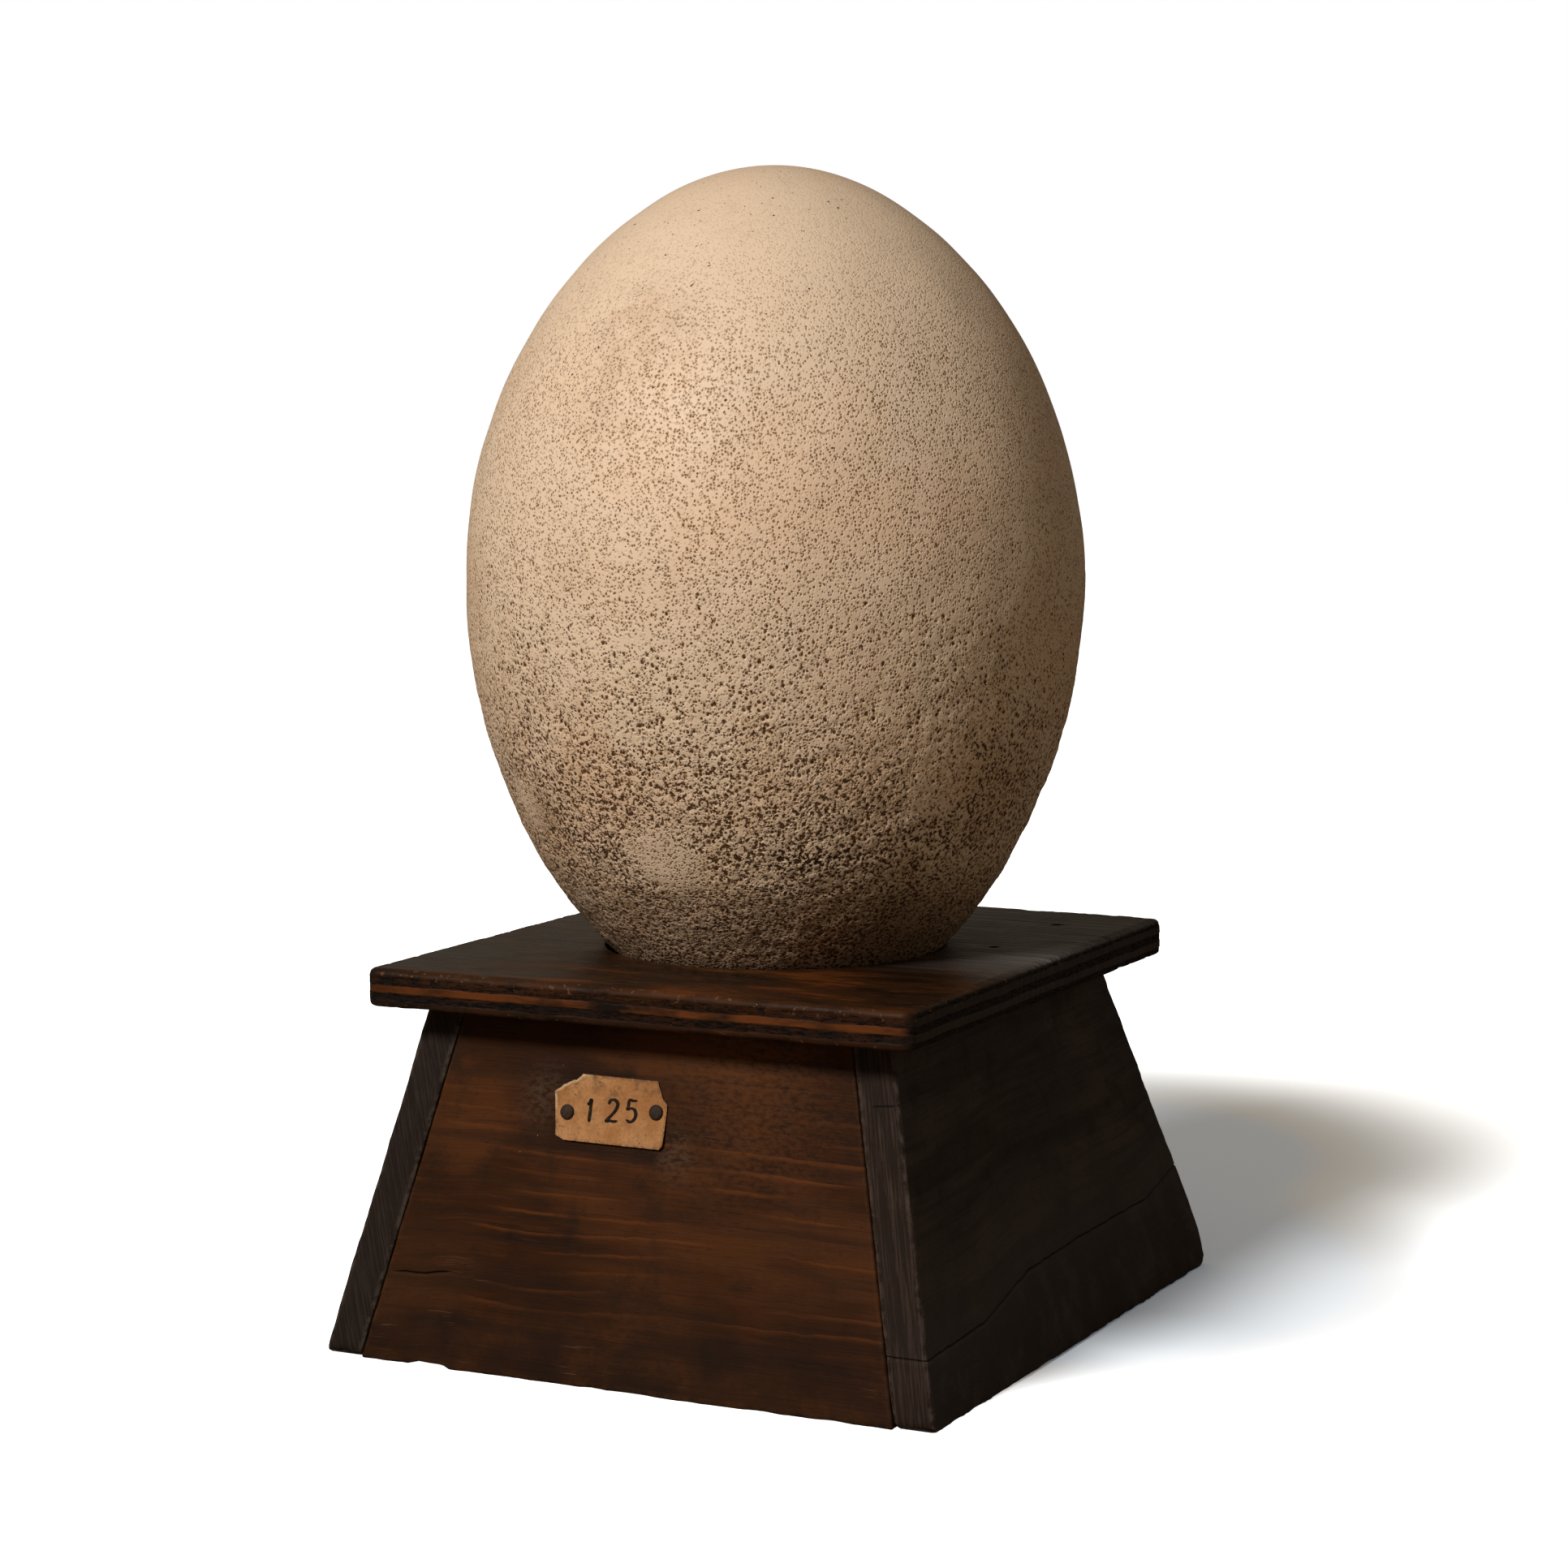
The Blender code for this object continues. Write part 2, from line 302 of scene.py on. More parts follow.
    def cells(self, place: Field, scale: float) -> tuple[Field, Field, Field]:
        """Scattered points, one to a cell.

        Args:
            place: Where the surface is.
            scale: Cells to a metre.

        Returns:
            The distance to the nearest point, in cells, and two random numbers that are its own.
        """
        node = self.add("ShaderNodeTexVoronoi", {"Vector": place, "Scale": scale})
        own = Field(self, node.outputs["Color"])
        return (Field(self, node.outputs["Distance"]), self.coordinate(own, "X"),
                self.coordinate(own, "Y"))

    def mixed(self, first: object, second: object, share: Feed) -> Field:
        """Go from one colour to another.

        Args:
            first: Colour where share is zero.
            second: Colour where share is one.
            share: How much of the second.

        Returns:
            The colour.
        """
        node = self.add("ShaderNodeMix", {0: share, 6: first, 7: second}, data_type="RGBA")
        return Field(self, node.outputs[2])

    def streaky(self, place: Field, scales: Triple, detail: float, roughness: float = 0.5) -> Field:
        """Cloudy noise with its own closeness along each axis, such as wood grain.

        Args:
            place: Where the surface is.
            scales: Features to a metre along the three axes.
            detail: How many finer layers are added.
            roughness: How strong the finer layers are.

        Returns:
            The noise.
        """
        return self.noise(self.stretched(place, scales), 1.0, detail, roughness)

    def show(self, lit: bpy.types.Node, seen: bpy.types.Node, output: bpy.types.Node) -> None:
        """Show one shader to the camera, and let another one light the scene.

        Args:
            lit: The shader that lights the scene.
            seen: The shader that the camera sees.
            output: The tree's output node.
        """
        path = self.add("ShaderNodeLightPath")
        mix = self.add("ShaderNodeMixShader", {0: path.outputs["Is Camera Ray"], 1: lit.outputs[0],
                                               2: seen.outputs[0]})
        self.feed(output.inputs[0], mix.outputs[0])


class Surface(Graph):
    """The nodes of one material around a Principled shader."""

    def __init__(self, name: str) -> None:
        """Make an empty material.

        Args:
            name: The material's name.
        """
        self.material = bpy.data.materials.new(name)
        self.material.use_nodes = True
        super().__init__(self.material.node_tree)
        self.shader = self.tree.nodes["Principled BSDF"]
        self.colour: Colour | Field = (0.0, 0.0, 0.0)

    def coat(self, tint: Colour, share: Feed) -> None:
        """Lay a tint over the colour so far, where share says how thickly."""
        self.colour = self.mixed(self.colour, tint, share)

    def finish(self, roughness: Field, height: Field,
               fixed: dict[str, float]) -> bpy.types.Material:
        """Join the colour so far and the pattern to the shader.

        Args:
            roughness: Roughness.
            height: Relief in metres, outwards.
            fixed: Values that are the same all over, by the names of the shader's inputs.

        Returns:
            The material.
        """
        self.feed(self.shader.inputs["Base Color"], self.colour)
        self.feed(self.shader.inputs["Roughness"], roughness)
        for slot, value in fixed.items():
            self.shader.inputs[slot].default_value = value
        bump = self.add("ShaderNodeBump", {"Strength": 1.0, "Distance": 1.0, "Height": height})
        self.feed(self.shader.inputs["Normal"], bump.outputs["Normal"])
        return self.material


@dataclass(frozen=True)
class ShellPlace:
    """A round place on the shell: its bearing from the front, to the right, in degrees."""

    bearing: float
    height: float
    reach: float
    strength: float


@dataclass(frozen=True)
class Pores:
    """One family of round pores, from the sound shell above to the weathered shell below."""

    cell: float
    stretch: float
    radius_sound: float
    radius_worn: float
    share_sound: float
    share_worn: float
    rim: float

    def masks(self, graph: Graph, place: Field, age: Field) -> tuple[Field, Field]:
        """Where the pores are.

        Args:
            graph: The graph to add to.
            place: Where the shell is.
            age: How weathered it is, from zero to one.

        Returns:
            The dark fill of the pores, which is dirt, and in the coarse pits also painted shade, and
            their hollows, which are wider. Both are one inside.
        """
        drawn = graph.stretched(place, (1.0, 1.0, self.stretch))
        distance, size, chance = graph.cells(drawn, 1.0 / self.cell)
        radius = age.span(0.0, 1.0, self.radius_sound, self.radius_worn) * (size * 0.8 + 0.55)
        there = chance.below(age.span(0.0, 1.0, self.share_sound, self.share_worn))
        share = distance / radius
        return share.span(0.95, 0.68) * there, share.span(self.rim, 0.30) * there


@dataclass(frozen=True)
class ShellRelief:
    """Pores, pits and swells of the shell, the same in its mesh and in its finish."""

    centres: tuple[tuple[Triple, float, float], ...]
    calm: tuple[tuple[Triple, float, float], ...]
    fine: Pores = Pores(0.00088, 0.90, 0.28, 0.32, 0.86, 0.70, 2.3)
    dashes: Pores = Pores(0.0020, 0.50, 0.16, 0.20, 0.16, 0.30, 2.0)
    coarse: Pores = Pores(0.0018, 0.86, 0.20, 0.33, 0.10, 0.66, 1.8)
    sound_above: float = 0.345
    worn_below: float = 0.165
    fine_depth: float = 0.00030
    coarse_depth: float = 0.00044
    worm_depth: float = 0.00040
    swell_depth: float = 0.0006
    lump_depth: float = 0.00022
    mesh_share: float = 0.40

    def read(self, graph: Graph) -> "ShellPattern":
        """Add the pattern's nodes to a graph.

        Args:
            graph: A material or geometry nodes.

        Returns:
            The fields of the pattern.
        """
        place = graph.attribute(REST)
        height = graph.coordinate(place, "Z")
        drift = graph.noise(place, 15.0, 3.0, 0.6) - 0.5
        level = height + drift * 0.075
        calm = sum((graph.near(place, centre, reach) * strength
                    for centre, reach, strength in self.calm), graph.math("ADD", 0.0, 0.0))
        rough = sum((graph.near(place, centre, reach, 0.1) * strength
                     for centre, reach, strength in self.centres), graph.math("ADD", 0.0, 0.0))
        age = level.span(self.sound_above, self.worn_below) * (1.0 - calm * 0.55)
        crown = height.span(0.400, 0.325, 0.30, 1.0)
        crooked = graph.warped(place, 900.0, 0.00024)
        fine, fine_hollow = self.fine.masks(graph, crooked, age)
        dashes, dash_hollow = self.dashes.masks(graph, crooked, age)
        clusters = graph.noise(place, 62.0, 2.0, 0.5) - 0.5
        worn = (level - clusters * 0.07).span(0.300, 0.190) * (1.0 - calm)
        coarse, coarse_hollow = self.coarse.masks(graph, crooked, worn)
        flat = height.span(0.168, 0.134) * -0.022
        drawn = graph.point(graph.coordinate(crooked, "X"), graph.coordinate(crooked, "Y"),
                            graph.coordinate(crooked, "Z") + flat)
        worms = graph.noise(drawn, 780.0, 1.0, 0.40)
        bound = (level.span(0.262, 0.178, 0.77, 0.584) + calm * 0.20 - rough * 0.06
                 - clusters * 0.12)
        lumps = graph.noise(place, 300.0, 1.0)
        lower = worn.span(0.0, 0.25)
        return ShellPattern(place, height, age, worn, fine.larger(dashes) * crown,
                            fine_hollow.larger(dash_hollow) * crown, coarse * lower,
                            coarse_hollow * lower, worms.span(bound, bound + 0.030),
                            worms.span(bound - 0.065, bound + 0.045), rough, calm, lumps)

    def coarse_relief(self, pattern: "ShellPattern") -> Field:
        """Depth of the pits that the mesh itself carries.

        Args:
            pattern: The pattern's fields.

        Returns:
            Depth below the smooth outline, in metres.
        """
        pits = (pattern.coarse_hollow * self.coarse_depth).larger(pattern.worm_hollow
                                                                  * self.worm_depth)
        chasm = pattern.worm * pattern.rough * 0.0005
        return pits + chasm

    def swells(self, graph: Graph, pattern: "ShellPattern") -> Field:
        """Depth of the shallow swells and dents of the whole shell.

        Args:
            graph: The graph to add to.
            pattern: The pattern's fields.

        Returns:
            Depth below the smooth outline, in metres.
        """
        broad = graph.noise(pattern.place, 28.0, 1.0).span(0.3, 0.7)
        small = graph.noise(pattern.place, 120.0, 1.0).span(0.35, 0.65)
        crown = pattern.height.span(0.4075, 0.385)
        lumps = pattern.lumps.span(0.35, 0.65) * self.lump_depth
        return (broad * self.swell_depth + (small * 0.0003 + lumps) * pattern.worn) * crown


@dataclass(frozen=True)
class ShellPattern:
    """Fields of the shell's pattern."""

    place: Field
    height: Field
    age: Field
    worn: Field
    fine: Field
    fine_hollow: Field
    coarse: Field
    coarse_hollow: Field
    worm: Field
    worm_hollow: Field
    rough: Field
    calm: Field
    lumps: Field


@dataclass(frozen=True)
class ShellFinish:
    """Cream to tan eggshell with dirt in its pores and dirt with painted shade in its pits, darker and
    browner towards the seat, partly dirt and partly painted shade.
    """

    cream: Colour = (0.750, 0.567, 0.400)
    peach: Colour = (0.750, 0.525, 0.352)
    tan: Colour = (0.580, 0.405, 0.268)
    rust: Colour = (0.400, 0.185, 0.056)
    pore: Colour = (0.115, 0.047, 0.013)
    pit: Colour = (0.070, 0.027, 0.006)
    chasm: Colour = (0.014, 0.005, 0.0015)
    gold: Colour = (0.620, 0.400, 0.215)
    grime_and_shade: Colour = (0.230, 0.124, 0.058)

    def make(self, relief: ShellRelief, stains: Sequence[tuple[Triple, float, float]],
             dirt: Sequence[tuple[Triple, float, float]]) -> bpy.types.Material:
        """Make the material.

        Args:
            relief: The shell's relief.
            stains: Tan places: centre, reach and strength.
            dirt: Brown, grimy places, in the same way; some are painted shade on the sides away from the
                lamp and near the seat.

        Returns:
            The material.
        """
        graph = Surface("eggshell")
        pattern = relief.read(graph)
        place = pattern.place
        clouds = graph.noise(place, 11.0, 3.0, 0.6)
        mottle = graph.noise(place, 140.0, 3.0, 0.6)
        graph.colour = graph.mixed(self.cream, self.peach, clouds.span(0.45, 0.70))
        for centre, reach, strength in stains:
            graph.coat(self.tan, graph.near(place, centre, reach) * strength * mottle.span(0.3, 0.6))
        graph.coat(self.tan, mottle.span(0.52, 0.74) * 0.25)
        patches = graph.noise(place, 42.0, 3.0, 0.6).span(0.42, 0.64)
        graph.coat(self.gold, pattern.worn * patches * 0.28)
        # Dirt over the weathered shell, and darker and browner towards the seat: partly dirt, partly
        # painted shade from the board around the seat.
        grime_and_shade_film = pattern.age * clouds.span(0.3, 0.6) * 0.08 + pattern.height.span(0.178, 0.140) * 0.55
        for centre, reach, strength in dirt:
            grime_and_shade_film = grime_and_shade_film + graph.near(place, centre, reach) * strength * mottle.span(0.25, 0.6, 0.6, 1.0)
        graph.coat(self.grime_and_shade, grime_and_shade_film * (1.0 - pattern.calm * 0.6))
        halo = pattern.fine_hollow.larger(pattern.coarse_hollow).span(0.30, 0.90)
        graph.coat(self.rust, halo * mottle.span(0.35, 0.65, 0.45, 0.95))
        depth = pattern.age.span(0.0, 0.5, 0.80, 1.0) * mottle.span(0.25, 0.55, 0.75, 1.0)
        graph.coat(self.pore, pattern.fine * depth)
        # Painted shade: the coarse pits and the worm pits are filled dark brown to near black, their
        # dirt with the shade of their depths painted in.
        graph.coat(self.pit, pattern.coarse * depth)
        graph.coat(self.rust, pattern.worm_hollow.span(0.35, 0.95) * 0.50)
        graph.coat(self.pit, pattern.worm * 0.95)
        graph.coat(self.chasm, pattern.worm * (pattern.rough * 0.65 + mottle.span(0.5, 0.7) * 0.3))
        pitted = pattern.fine.larger(pattern.coarse).larger(pattern.worm)
        sheen = pattern.age.span(0.0, 1.0, 0.44, 0.38)
        roughness = pitted.span(0.0, 1.0, sheen, 0.90) + mottle * 0.10
        grain = graph.noise(place, 1500.0, 2.0, 0.6)
        height = (grain * 0.00002 + graph.noise(place, 420.0, 2.0) * 0.00006
                  - pattern.fine_hollow * relief.fine_depth - relief.coarse_relief(pattern))
        return graph.finish(roughness, height, {"Specular IOR Level": 0.30})


@dataclass(frozen=True)
class Smudge:
    """A worn or dark place on a board: where it is along and up the board, its reach and tint."""

    place: Pair
    reach: float
    tint: Colour


@dataclass(frozen=True)
class BoardFinish:
    """Dark stained softwood with long grain, worn pale along its edges, and lighter towards the foot
    where floor light is painted on.
    """

    name: str
    heart: Colour
    warm: Colour
    line: Colour
    pale: Colour
    soot: Colour = (0.010, 0.006, 0.004)
    gap: Colour = (0.002, 0.0014, 0.001)
    speck: Colour = (0.42, 0.36, 0.30)
    painted_floor_light: Colour = (0.070, 0.060, 0.058)
    spacing: float = 0.0062
    line_share: float = 0.62
    line_low: float = 0.022
    line_high: float = 0.090
    saw_share: float = 0.0
    saw_slant: float = 0.0
    saw_pale: float = 0.22
    sawn: Colour = (0.034, 0.0185, 0.0115)
    waves: float = 0.007
    shift: float = 0.0
    edge_wear: float = 0.45
    foot_grime: float = 0.8
    gloss: float = 0.50
    specular: float = 0.06
    floor_light_paint: float = 0.0
    nick: float = 0.0
    smudges: tuple[Smudge, ...] = ()

    def make(self) -> bpy.types.Material:
        """Make the material.

        Returns:
            The material.
        """
        graph = Surface(self.name)
        place = graph.attribute(BOARD)
        edge = graph.attribute(EDGE, vector=False)
        along = graph.coordinate(place, "X")
        up = graph.coordinate(place, "Y")
        into = graph.coordinate(place, "Z")
        fibres = graph.streaky(place, (24.0, 1300.0, 1300.0), 3.0, 0.65)
        threads = graph.streaky(place, (90.0, 3600.0, 3600.0), 2.0, 0.6)
        streaks = graph.streaky(place, (9.0, 260.0, 260.0), 3.0, 0.6)
        clouds = graph.streaky(place, (13.0, 30.0, 30.0), 3.0, 0.6)
        blotch = graph.noise(place, 48.0, 4.0, 0.65)
        bend = graph.streaky(place, (9.0, 16.0, 16.0), 1.0, 0.5)
        rings = ((up + bend * self.waves + streaks * 0.003) / self.spacing).fraction()
        line = rings.span(0.72, 0.95) * rings.span(1.0, 0.965)
        where = (up.span(self.line_low - 0.008, self.line_low + 0.008)
                 * up.span(self.line_high + 0.010, self.line_high - 0.012))
        patch = graph.streaky(place, (14.0, 70.0, 70.0), 2.0).span(0.44, 0.58)
        strip = (along - self.shift).span(0.0012, 0.0004) * self.saw_share
        graph.colour = graph.mixed(self.heart, self.warm, clouds.span(0.36, 0.66))
        graph.coat(self.line, line * patch * where * self.line_share)
        bands = graph.streaky(place, (7.0, 85.0, 85.0), 2.0, 0.5)
        graph.coat(self.soot, bands.span(0.50, 0.36) * 0.42)
        graph.coat(self.line, streaks.span(0.58, 0.74) * where * 0.20)
        graph.coat(self.soot, streaks.span(0.48, 0.34) * 0.30)
        graph.coat(self.soot, fibres.span(0.50, 0.74) * 0.42)
        graph.coat(self.soot, blotch.span(0.50, 0.72) * 0.55)
        pits = graph.streaky(place, (260.0, 620.0, 620.0), 3.0, 0.7)
        graph.coat(self.soot, pits.span(0.54, 0.70) * 0.38)
        graph.coat(self.warm, threads.span(0.56, 0.76) * 0.45)
        for smudge in self.smudges:
            middle = (self.shift + smudge.place[0], smudge.place[1], 0.0)
            mask = graph.near(place, middle, smudge.reach, 0.1)
            graph.coat(smudge.tint, mask * pits.span(0.60, 0.40) * 0.45)
        # Painted light: lighter and greyer towards the foot, standing in for light thrown up from the
        # floor.
        shade = up.span(0.070, 0.006) * self.floor_light_paint
        graph.coat(self.painted_floor_light, shade)
        foot = up.span(0.036, 0.006) * blotch.span(0.30, 0.52) * self.foot_grime
        graph.coat(self.soot, foot * 0.7)
        scratch = graph.streaky(place, (55.0, 1500.0, 1500.0), 1.0)
        scuffs = scratch.span(0.66, 0.72) * graph.noise(place, 22.0, 2.0).span(0.48, 0.62)
        graph.coat(self.pale, scuffs * up.span(0.050, 0.008, 0.15, 0.70))
        drawn = graph.point(into + up * self.saw_slant, up * 0.035, along * 0.05)
        teeth = graph.noise(drawn, 1500.0, 2.0, 0.6)
        cut = teeth.span(0.40, 0.62) * strip
        graph.coat(self.sawn, strip * 0.80)
        graph.coat(self.soot, (1.0 - cut) * strip * 0.75)
        graph.coat(self.pale, cut * blotch.span(0.40, 0.62)
                   * up.span(0.025, 0.095, self.saw_pale * 0.40, self.saw_pale))
        split = (up + into * 0.10 + blotch * 0.0012).away(self.nick).span(0.00045, 0.00012)
        graph.coat(self.gap, split * strip * into.span(0.0105, 0.0085) * 0.95)
        worn = edge.span(0.0024, 0.0003) * graph.noise(place, 260.0, 3.0, 0.7).span(0.40, 0.62)
        graph.coat(self.pale, worn * self.edge_wear)
        speck, _, chance = graph.cells(place, 330.0)
        dust = speck.span(0.075, 0.03) * chance.below(0.014)
        graph.coat(self.speck, dust * 0.7)
        dull = blotch * 0.16 + fibres * 0.16 + worn * 0.12
        height = (fibres * 0.00009 + threads * 0.00003 + cut * 0.00014 + streaks * 0.00010
                  + blotch * 0.00012)
        return graph.finish(dull + (self.gloss - 0.16), height,
                            {"Specular IOR Level": self.specular})


@dataclass(frozen=True)
class PlywoodFinish:
    """Five stained plies under worn varnish: long grain on the top, open pores on the edges, and a
    painted grey sheen with painted glints at the rear right.
    """

    underside: float
    thickness: float
    heart: Colour = (0.0150, 0.0072, 0.0036)
    warm: Colour = (0.047, 0.0155, 0.0040)
    orange: Colour = (0.160, 0.043, 0.0080)
    grey: Colour = (0.115, 0.104, 0.098)
    soot: Colour = (0.0060, 0.0035, 0.0025)
    bare: Colour = (0.210, 0.105, 0.050)
    dust: Colour = (0.0260, 0.0190, 0.0155)
    warm_middle: Triple = (0.020, -0.100, 0.134)
    rear_right: Triple = (0.085, 0.050, 0.134)
    dim_left: Triple = (-0.085, -0.060, 0.134)
    ridge: Colour = (0.200, 0.180, 0.165)
    void: Colour = (0.0025, 0.0015, 0.001)
    speck: Colour = (0.50, 0.45, 0.40)

    def make(self) -> bpy.types.Material:
        """Make the material.

        Returns:
            The material.
        """
        graph = Surface("stained_plywood")
        place = graph.attribute(BOARD)
        edge = graph.attribute(EDGE, vector=False)
        across = graph.attribute(ACROSS, vector=False)
        high = graph.coordinate(place, "Z")
        wander = graph.noise(place, 60.0, 3.0, 0.6) - 0.5
        ply = (high + wander * 0.0016 - self.underside) / (self.thickness / 5.0)
        cross = ply.away(1.5).span(0.56, 0.44).larger(ply.away(3.5).span(0.56, 0.44))
        on_edge = high.span(self.underside + self.thickness - 0.0006,
                            self.underside + self.thickness - 0.0022)
        porous = (cross - across).away(0.0) * on_edge
        fibres = graph.streaky(place, (26.0, 950.0, 950.0), 3.0, 0.65)
        figure = graph.streaky(place, (16.0, 150.0, 150.0), 3.0, 0.6)
        clouds = graph.noise(place, 21.0, 3.0, 0.6)
        blotch = graph.noise(place, 90.0, 3.0, 0.65)
        glow = graph.near(place, self.warm_middle, 0.110, 0.20)
        veins = graph.streaky(place, (30.0, 420.0, 420.0), 3.0, 0.62)
        wear_and_sheen = graph.near(place, self.rear_right, 0.105, 0.35)
        graph.colour = graph.mixed(self.heart, self.warm,
                                   clouds.span(0.40, 0.66) * 0.55 + glow * 0.55)
        stains = graph.streaky(place, (34.0, 95.0, 95.0), 4.0, 0.62)
        graph.coat(self.orange, glow * stains.span(0.50, 0.66) * 0.62)
        graph.coat(self.orange, veins.span(0.58, 0.72) * (glow * 0.35 + 0.05))
        graph.coat(self.soot, veins.span(0.45, 0.33) * 0.45)
        graph.coat(self.soot, stains.span(0.48, 0.36) * 0.75)
        # Painted reflection: a grey sheen over the rear right, where the grain is also worn into ridges.
        graph.coat(self.grey, wear_and_sheen * 0.85)
        ridges = graph.streaky(place, (14.0, 480.0, 1.0), 2.0, 0.5)
        comb = ridges.span(0.36, 0.64) * (wear_and_sheen * 0.9 + 0.12)
        # Painted highlights: pale glints along the raised ridges at the rear right.
        graph.coat(self.ridge, ridges.span(0.56, 0.68) * wear_and_sheen * 0.7)
        graph.coat(self.soot, graph.near(place, self.dim_left, 0.080) * 0.35)
        graph.coat(self.soot, fibres.span(0.52, 0.76) * 0.5)
        graph.coat(self.soot, figure.span(0.54, 0.70) * 0.4)
        scratch = graph.streaky(place, (120.0, 1500.0, 1500.0), 1.0)
        scuffs = scratch.span(0.69, 0.73) * graph.noise(place, 30.0, 2.0).span(0.50, 0.62)
        graph.coat(self.bare, scuffs * (1.0 - on_edge) * 0.55)
        graph.coat(self.soot, on_edge * 0.40)
        graph.coat(self.dust, on_edge * across * 0.75)
        core = ply.away(2.5).span(0.62, 0.36) * on_edge * (1.0 - across)
        graph.coat(self.orange, core * stains.span(0.36, 0.62) * 0.62)
        graph.coat(self.soot, porous * 0.50)
        dash = graph.streaky(place, (330.0, 330.0, 1900.0), 2.0, 0.6)
        voids = dash.span(0.52, 0.62) * porous
        graph.coat(self.void, voids * 0.95)
        glue = ply.fraction().away(0.5).span(0.40, 0.50) * on_edge * blotch.span(0.35, 0.6)
        graph.coat(self.soot, glue * 0.45)
        arris = edge.span(0.0030, 0.0006) * graph.noise(place, 130.0, 3.0, 0.7).span(0.36, 0.60)
        graph.coat(self.warm, arris * (1.0 - across) * 0.6)
        chips = edge.span(0.0020, 0.0002) * graph.noise(place, 420.0, 2.0, 0.6).span(0.62, 0.70)
        graph.coat(self.bare, chips * 0.45)
        speck, _, chance = graph.cells(place, 260.0)
        dust = speck.span(0.055, 0.02) * chance.below(0.030)
        graph.coat(self.speck, dust * 0.7)
        gloss = (clouds * 0.20 + blotch * 0.16 + porous * 0.30 + wear_and_sheen * 0.16
                 + glow * stains * 0.30 + edge.span(0.0045, 0.0008) * 0.12 + on_edge * 0.15)
        height = (fibres * 0.00007 + comb * 0.00060 + blotch * 0.00016
                  - voids * 0.0005)
        return graph.finish(gloss + 0.08, height, {"Specular IOR Level": 0.10})


@dataclass(frozen=True)
class PaperFinish:
    """Aged tan paper: foxed, creased, paler along its torn edge."""

    tan: Colour = (0.345, 0.140, 0.041)
    faded: Colour = (0.450, 0.212, 0.078)
    foxing: Colour = (0.175, 0.080, 0.030)
    torn: Colour = (0.560, 0.360, 0.190)
    flyspot: Colour = (0.035, 0.020, 0.012)
    torn_corner: Triple = (-0.0320, -0.1060, 0.0990)

    def make(self) -> bpy.types.Material:
        """Make the material.

        Returns:
            The material.
        """
        graph = Surface("old_paper")
        place = graph.attribute(REST)
        edge = graph.attribute(EDGE, vector=False)
        clouds = graph.noise(place, 95.0, 3.0, 0.6)
        fibres = graph.noise(place, 1900.0, 2.0, 0.6)
        spots = graph.noise(place, 520.0, 3.0, 0.65)
        graph.colour = graph.mixed(self.tan, self.faded, clouds.span(0.40, 0.64))
        graph.coat(self.foxing, spots.span(0.56, 0.72) * 0.45)
        graph.coat(self.foxing, edge.span(0.0013, 0.0) * spots.span(0.38, 0.60))
        graph.coat(self.tan, fibres.span(0.45, 0.7) * 0.25)
        tear = graph.near(place, self.torn_corner, 0.0135, 0.6)
        frayed = (edge + (fibres - 0.5) * 0.0006).span(0.0010, 0.0006)
        graph.coat(self.torn, tear * frayed)
        bend = graph.noise(place, 70.0, 2.0)
        crease = bend.away(0.5).span(0.006, 0.0) * clouds.span(0.46, 0.60)
        graph.coat(self.torn, crease * 0.25)
        damp = graph.noise(place, 210.0, 4.0, 0.65)
        high = graph.coordinate(place, "Z")
        graph.coat(self.foxing, damp.span(0.50, 0.70) * high.span(0.0870, 0.0990, 0.30, 0.95))
        rub = graph.noise(place, 1100.0, 3.0, 0.7)
        graph.coat(self.foxing, rub.span(0.50, 0.68) * 0.50)
        speck, _, chance = graph.cells(place, 900.0)
        flyspots = speck.span(0.28, 0.18) * chance.below(0.05)
        graph.coat(self.flyspot, flyspots * 0.85)
        height = fibres * 0.00003 + rub * 0.00004 + clouds * 0.00010 + crease * 0.00005
        return graph.finish(spots * 0.2 + 0.62, height, {"Specular IOR Level": 0.25})


@dataclass(frozen=True)
class InkFinish:
    """Old black-brown ink, thinner where the pen ran dry."""

    black: Colour = (0.012, 0.008, 0.006)
    brown: Colour = (0.050, 0.026, 0.014)

    def make(self) -> bpy.types.Material:
        """Make the material.

        Returns:
            The material.
        """
        graph = Surface("ink")
        place = graph.attribute(REST)
        flow = graph.noise(place, 900.0, 3.0, 0.65)
        graph.colour = graph.mixed(self.black, self.brown, flow.span(0.50, 0.72))
        return graph.finish(flow * 0.3 + 0.60, flow * 0.00002, {"Specular IOR Level": 0.12})


@dataclass(frozen=True)
class IronFinish:
    """Dark brown rusted iron."""

    dark: Colour = (0.024, 0.014, 0.009)
    rust: Colour = (0.062, 0.030, 0.016)
    shine: Colour = (0.100, 0.066, 0.044)

    def make(self) -> bpy.types.Material:
        """Make the material.

        Returns:
            The material.
        """
        graph = Surface("dark_iron")
        node = graph.add("ShaderNodeTexCoord")
        place = Field(graph, node.outputs["Object"])
        bloom = graph.noise(place, 700.0, 4.0, 0.65)
        clouds = graph.noise(place, 230.0, 2.0)
        graph.colour = graph.mixed(self.dark, self.rust, bloom.span(0.45, 0.66) * clouds.span(0.35, 0.6))
        graph.coat(self.shine, bloom.span(0.62, 0.74) * 0.4)
        roughness = bloom.span(0.35, 0.65, 0.58, 0.85)
        return graph.finish(roughness, bloom * 0.00012,
                            {"Metallic": 0.10, "Specular IOR Level": 0.25})


class Slot(Enum):
    """The record's material slots."""

    SHELL = "eggshell"
    PLYWOOD = "stained_plywood"
    LONG_GRAIN = "stained_board"
    SIDE_GRAIN = "stained_side_board"
    PAPER = "old_paper"
    IRON = "dark_iron"


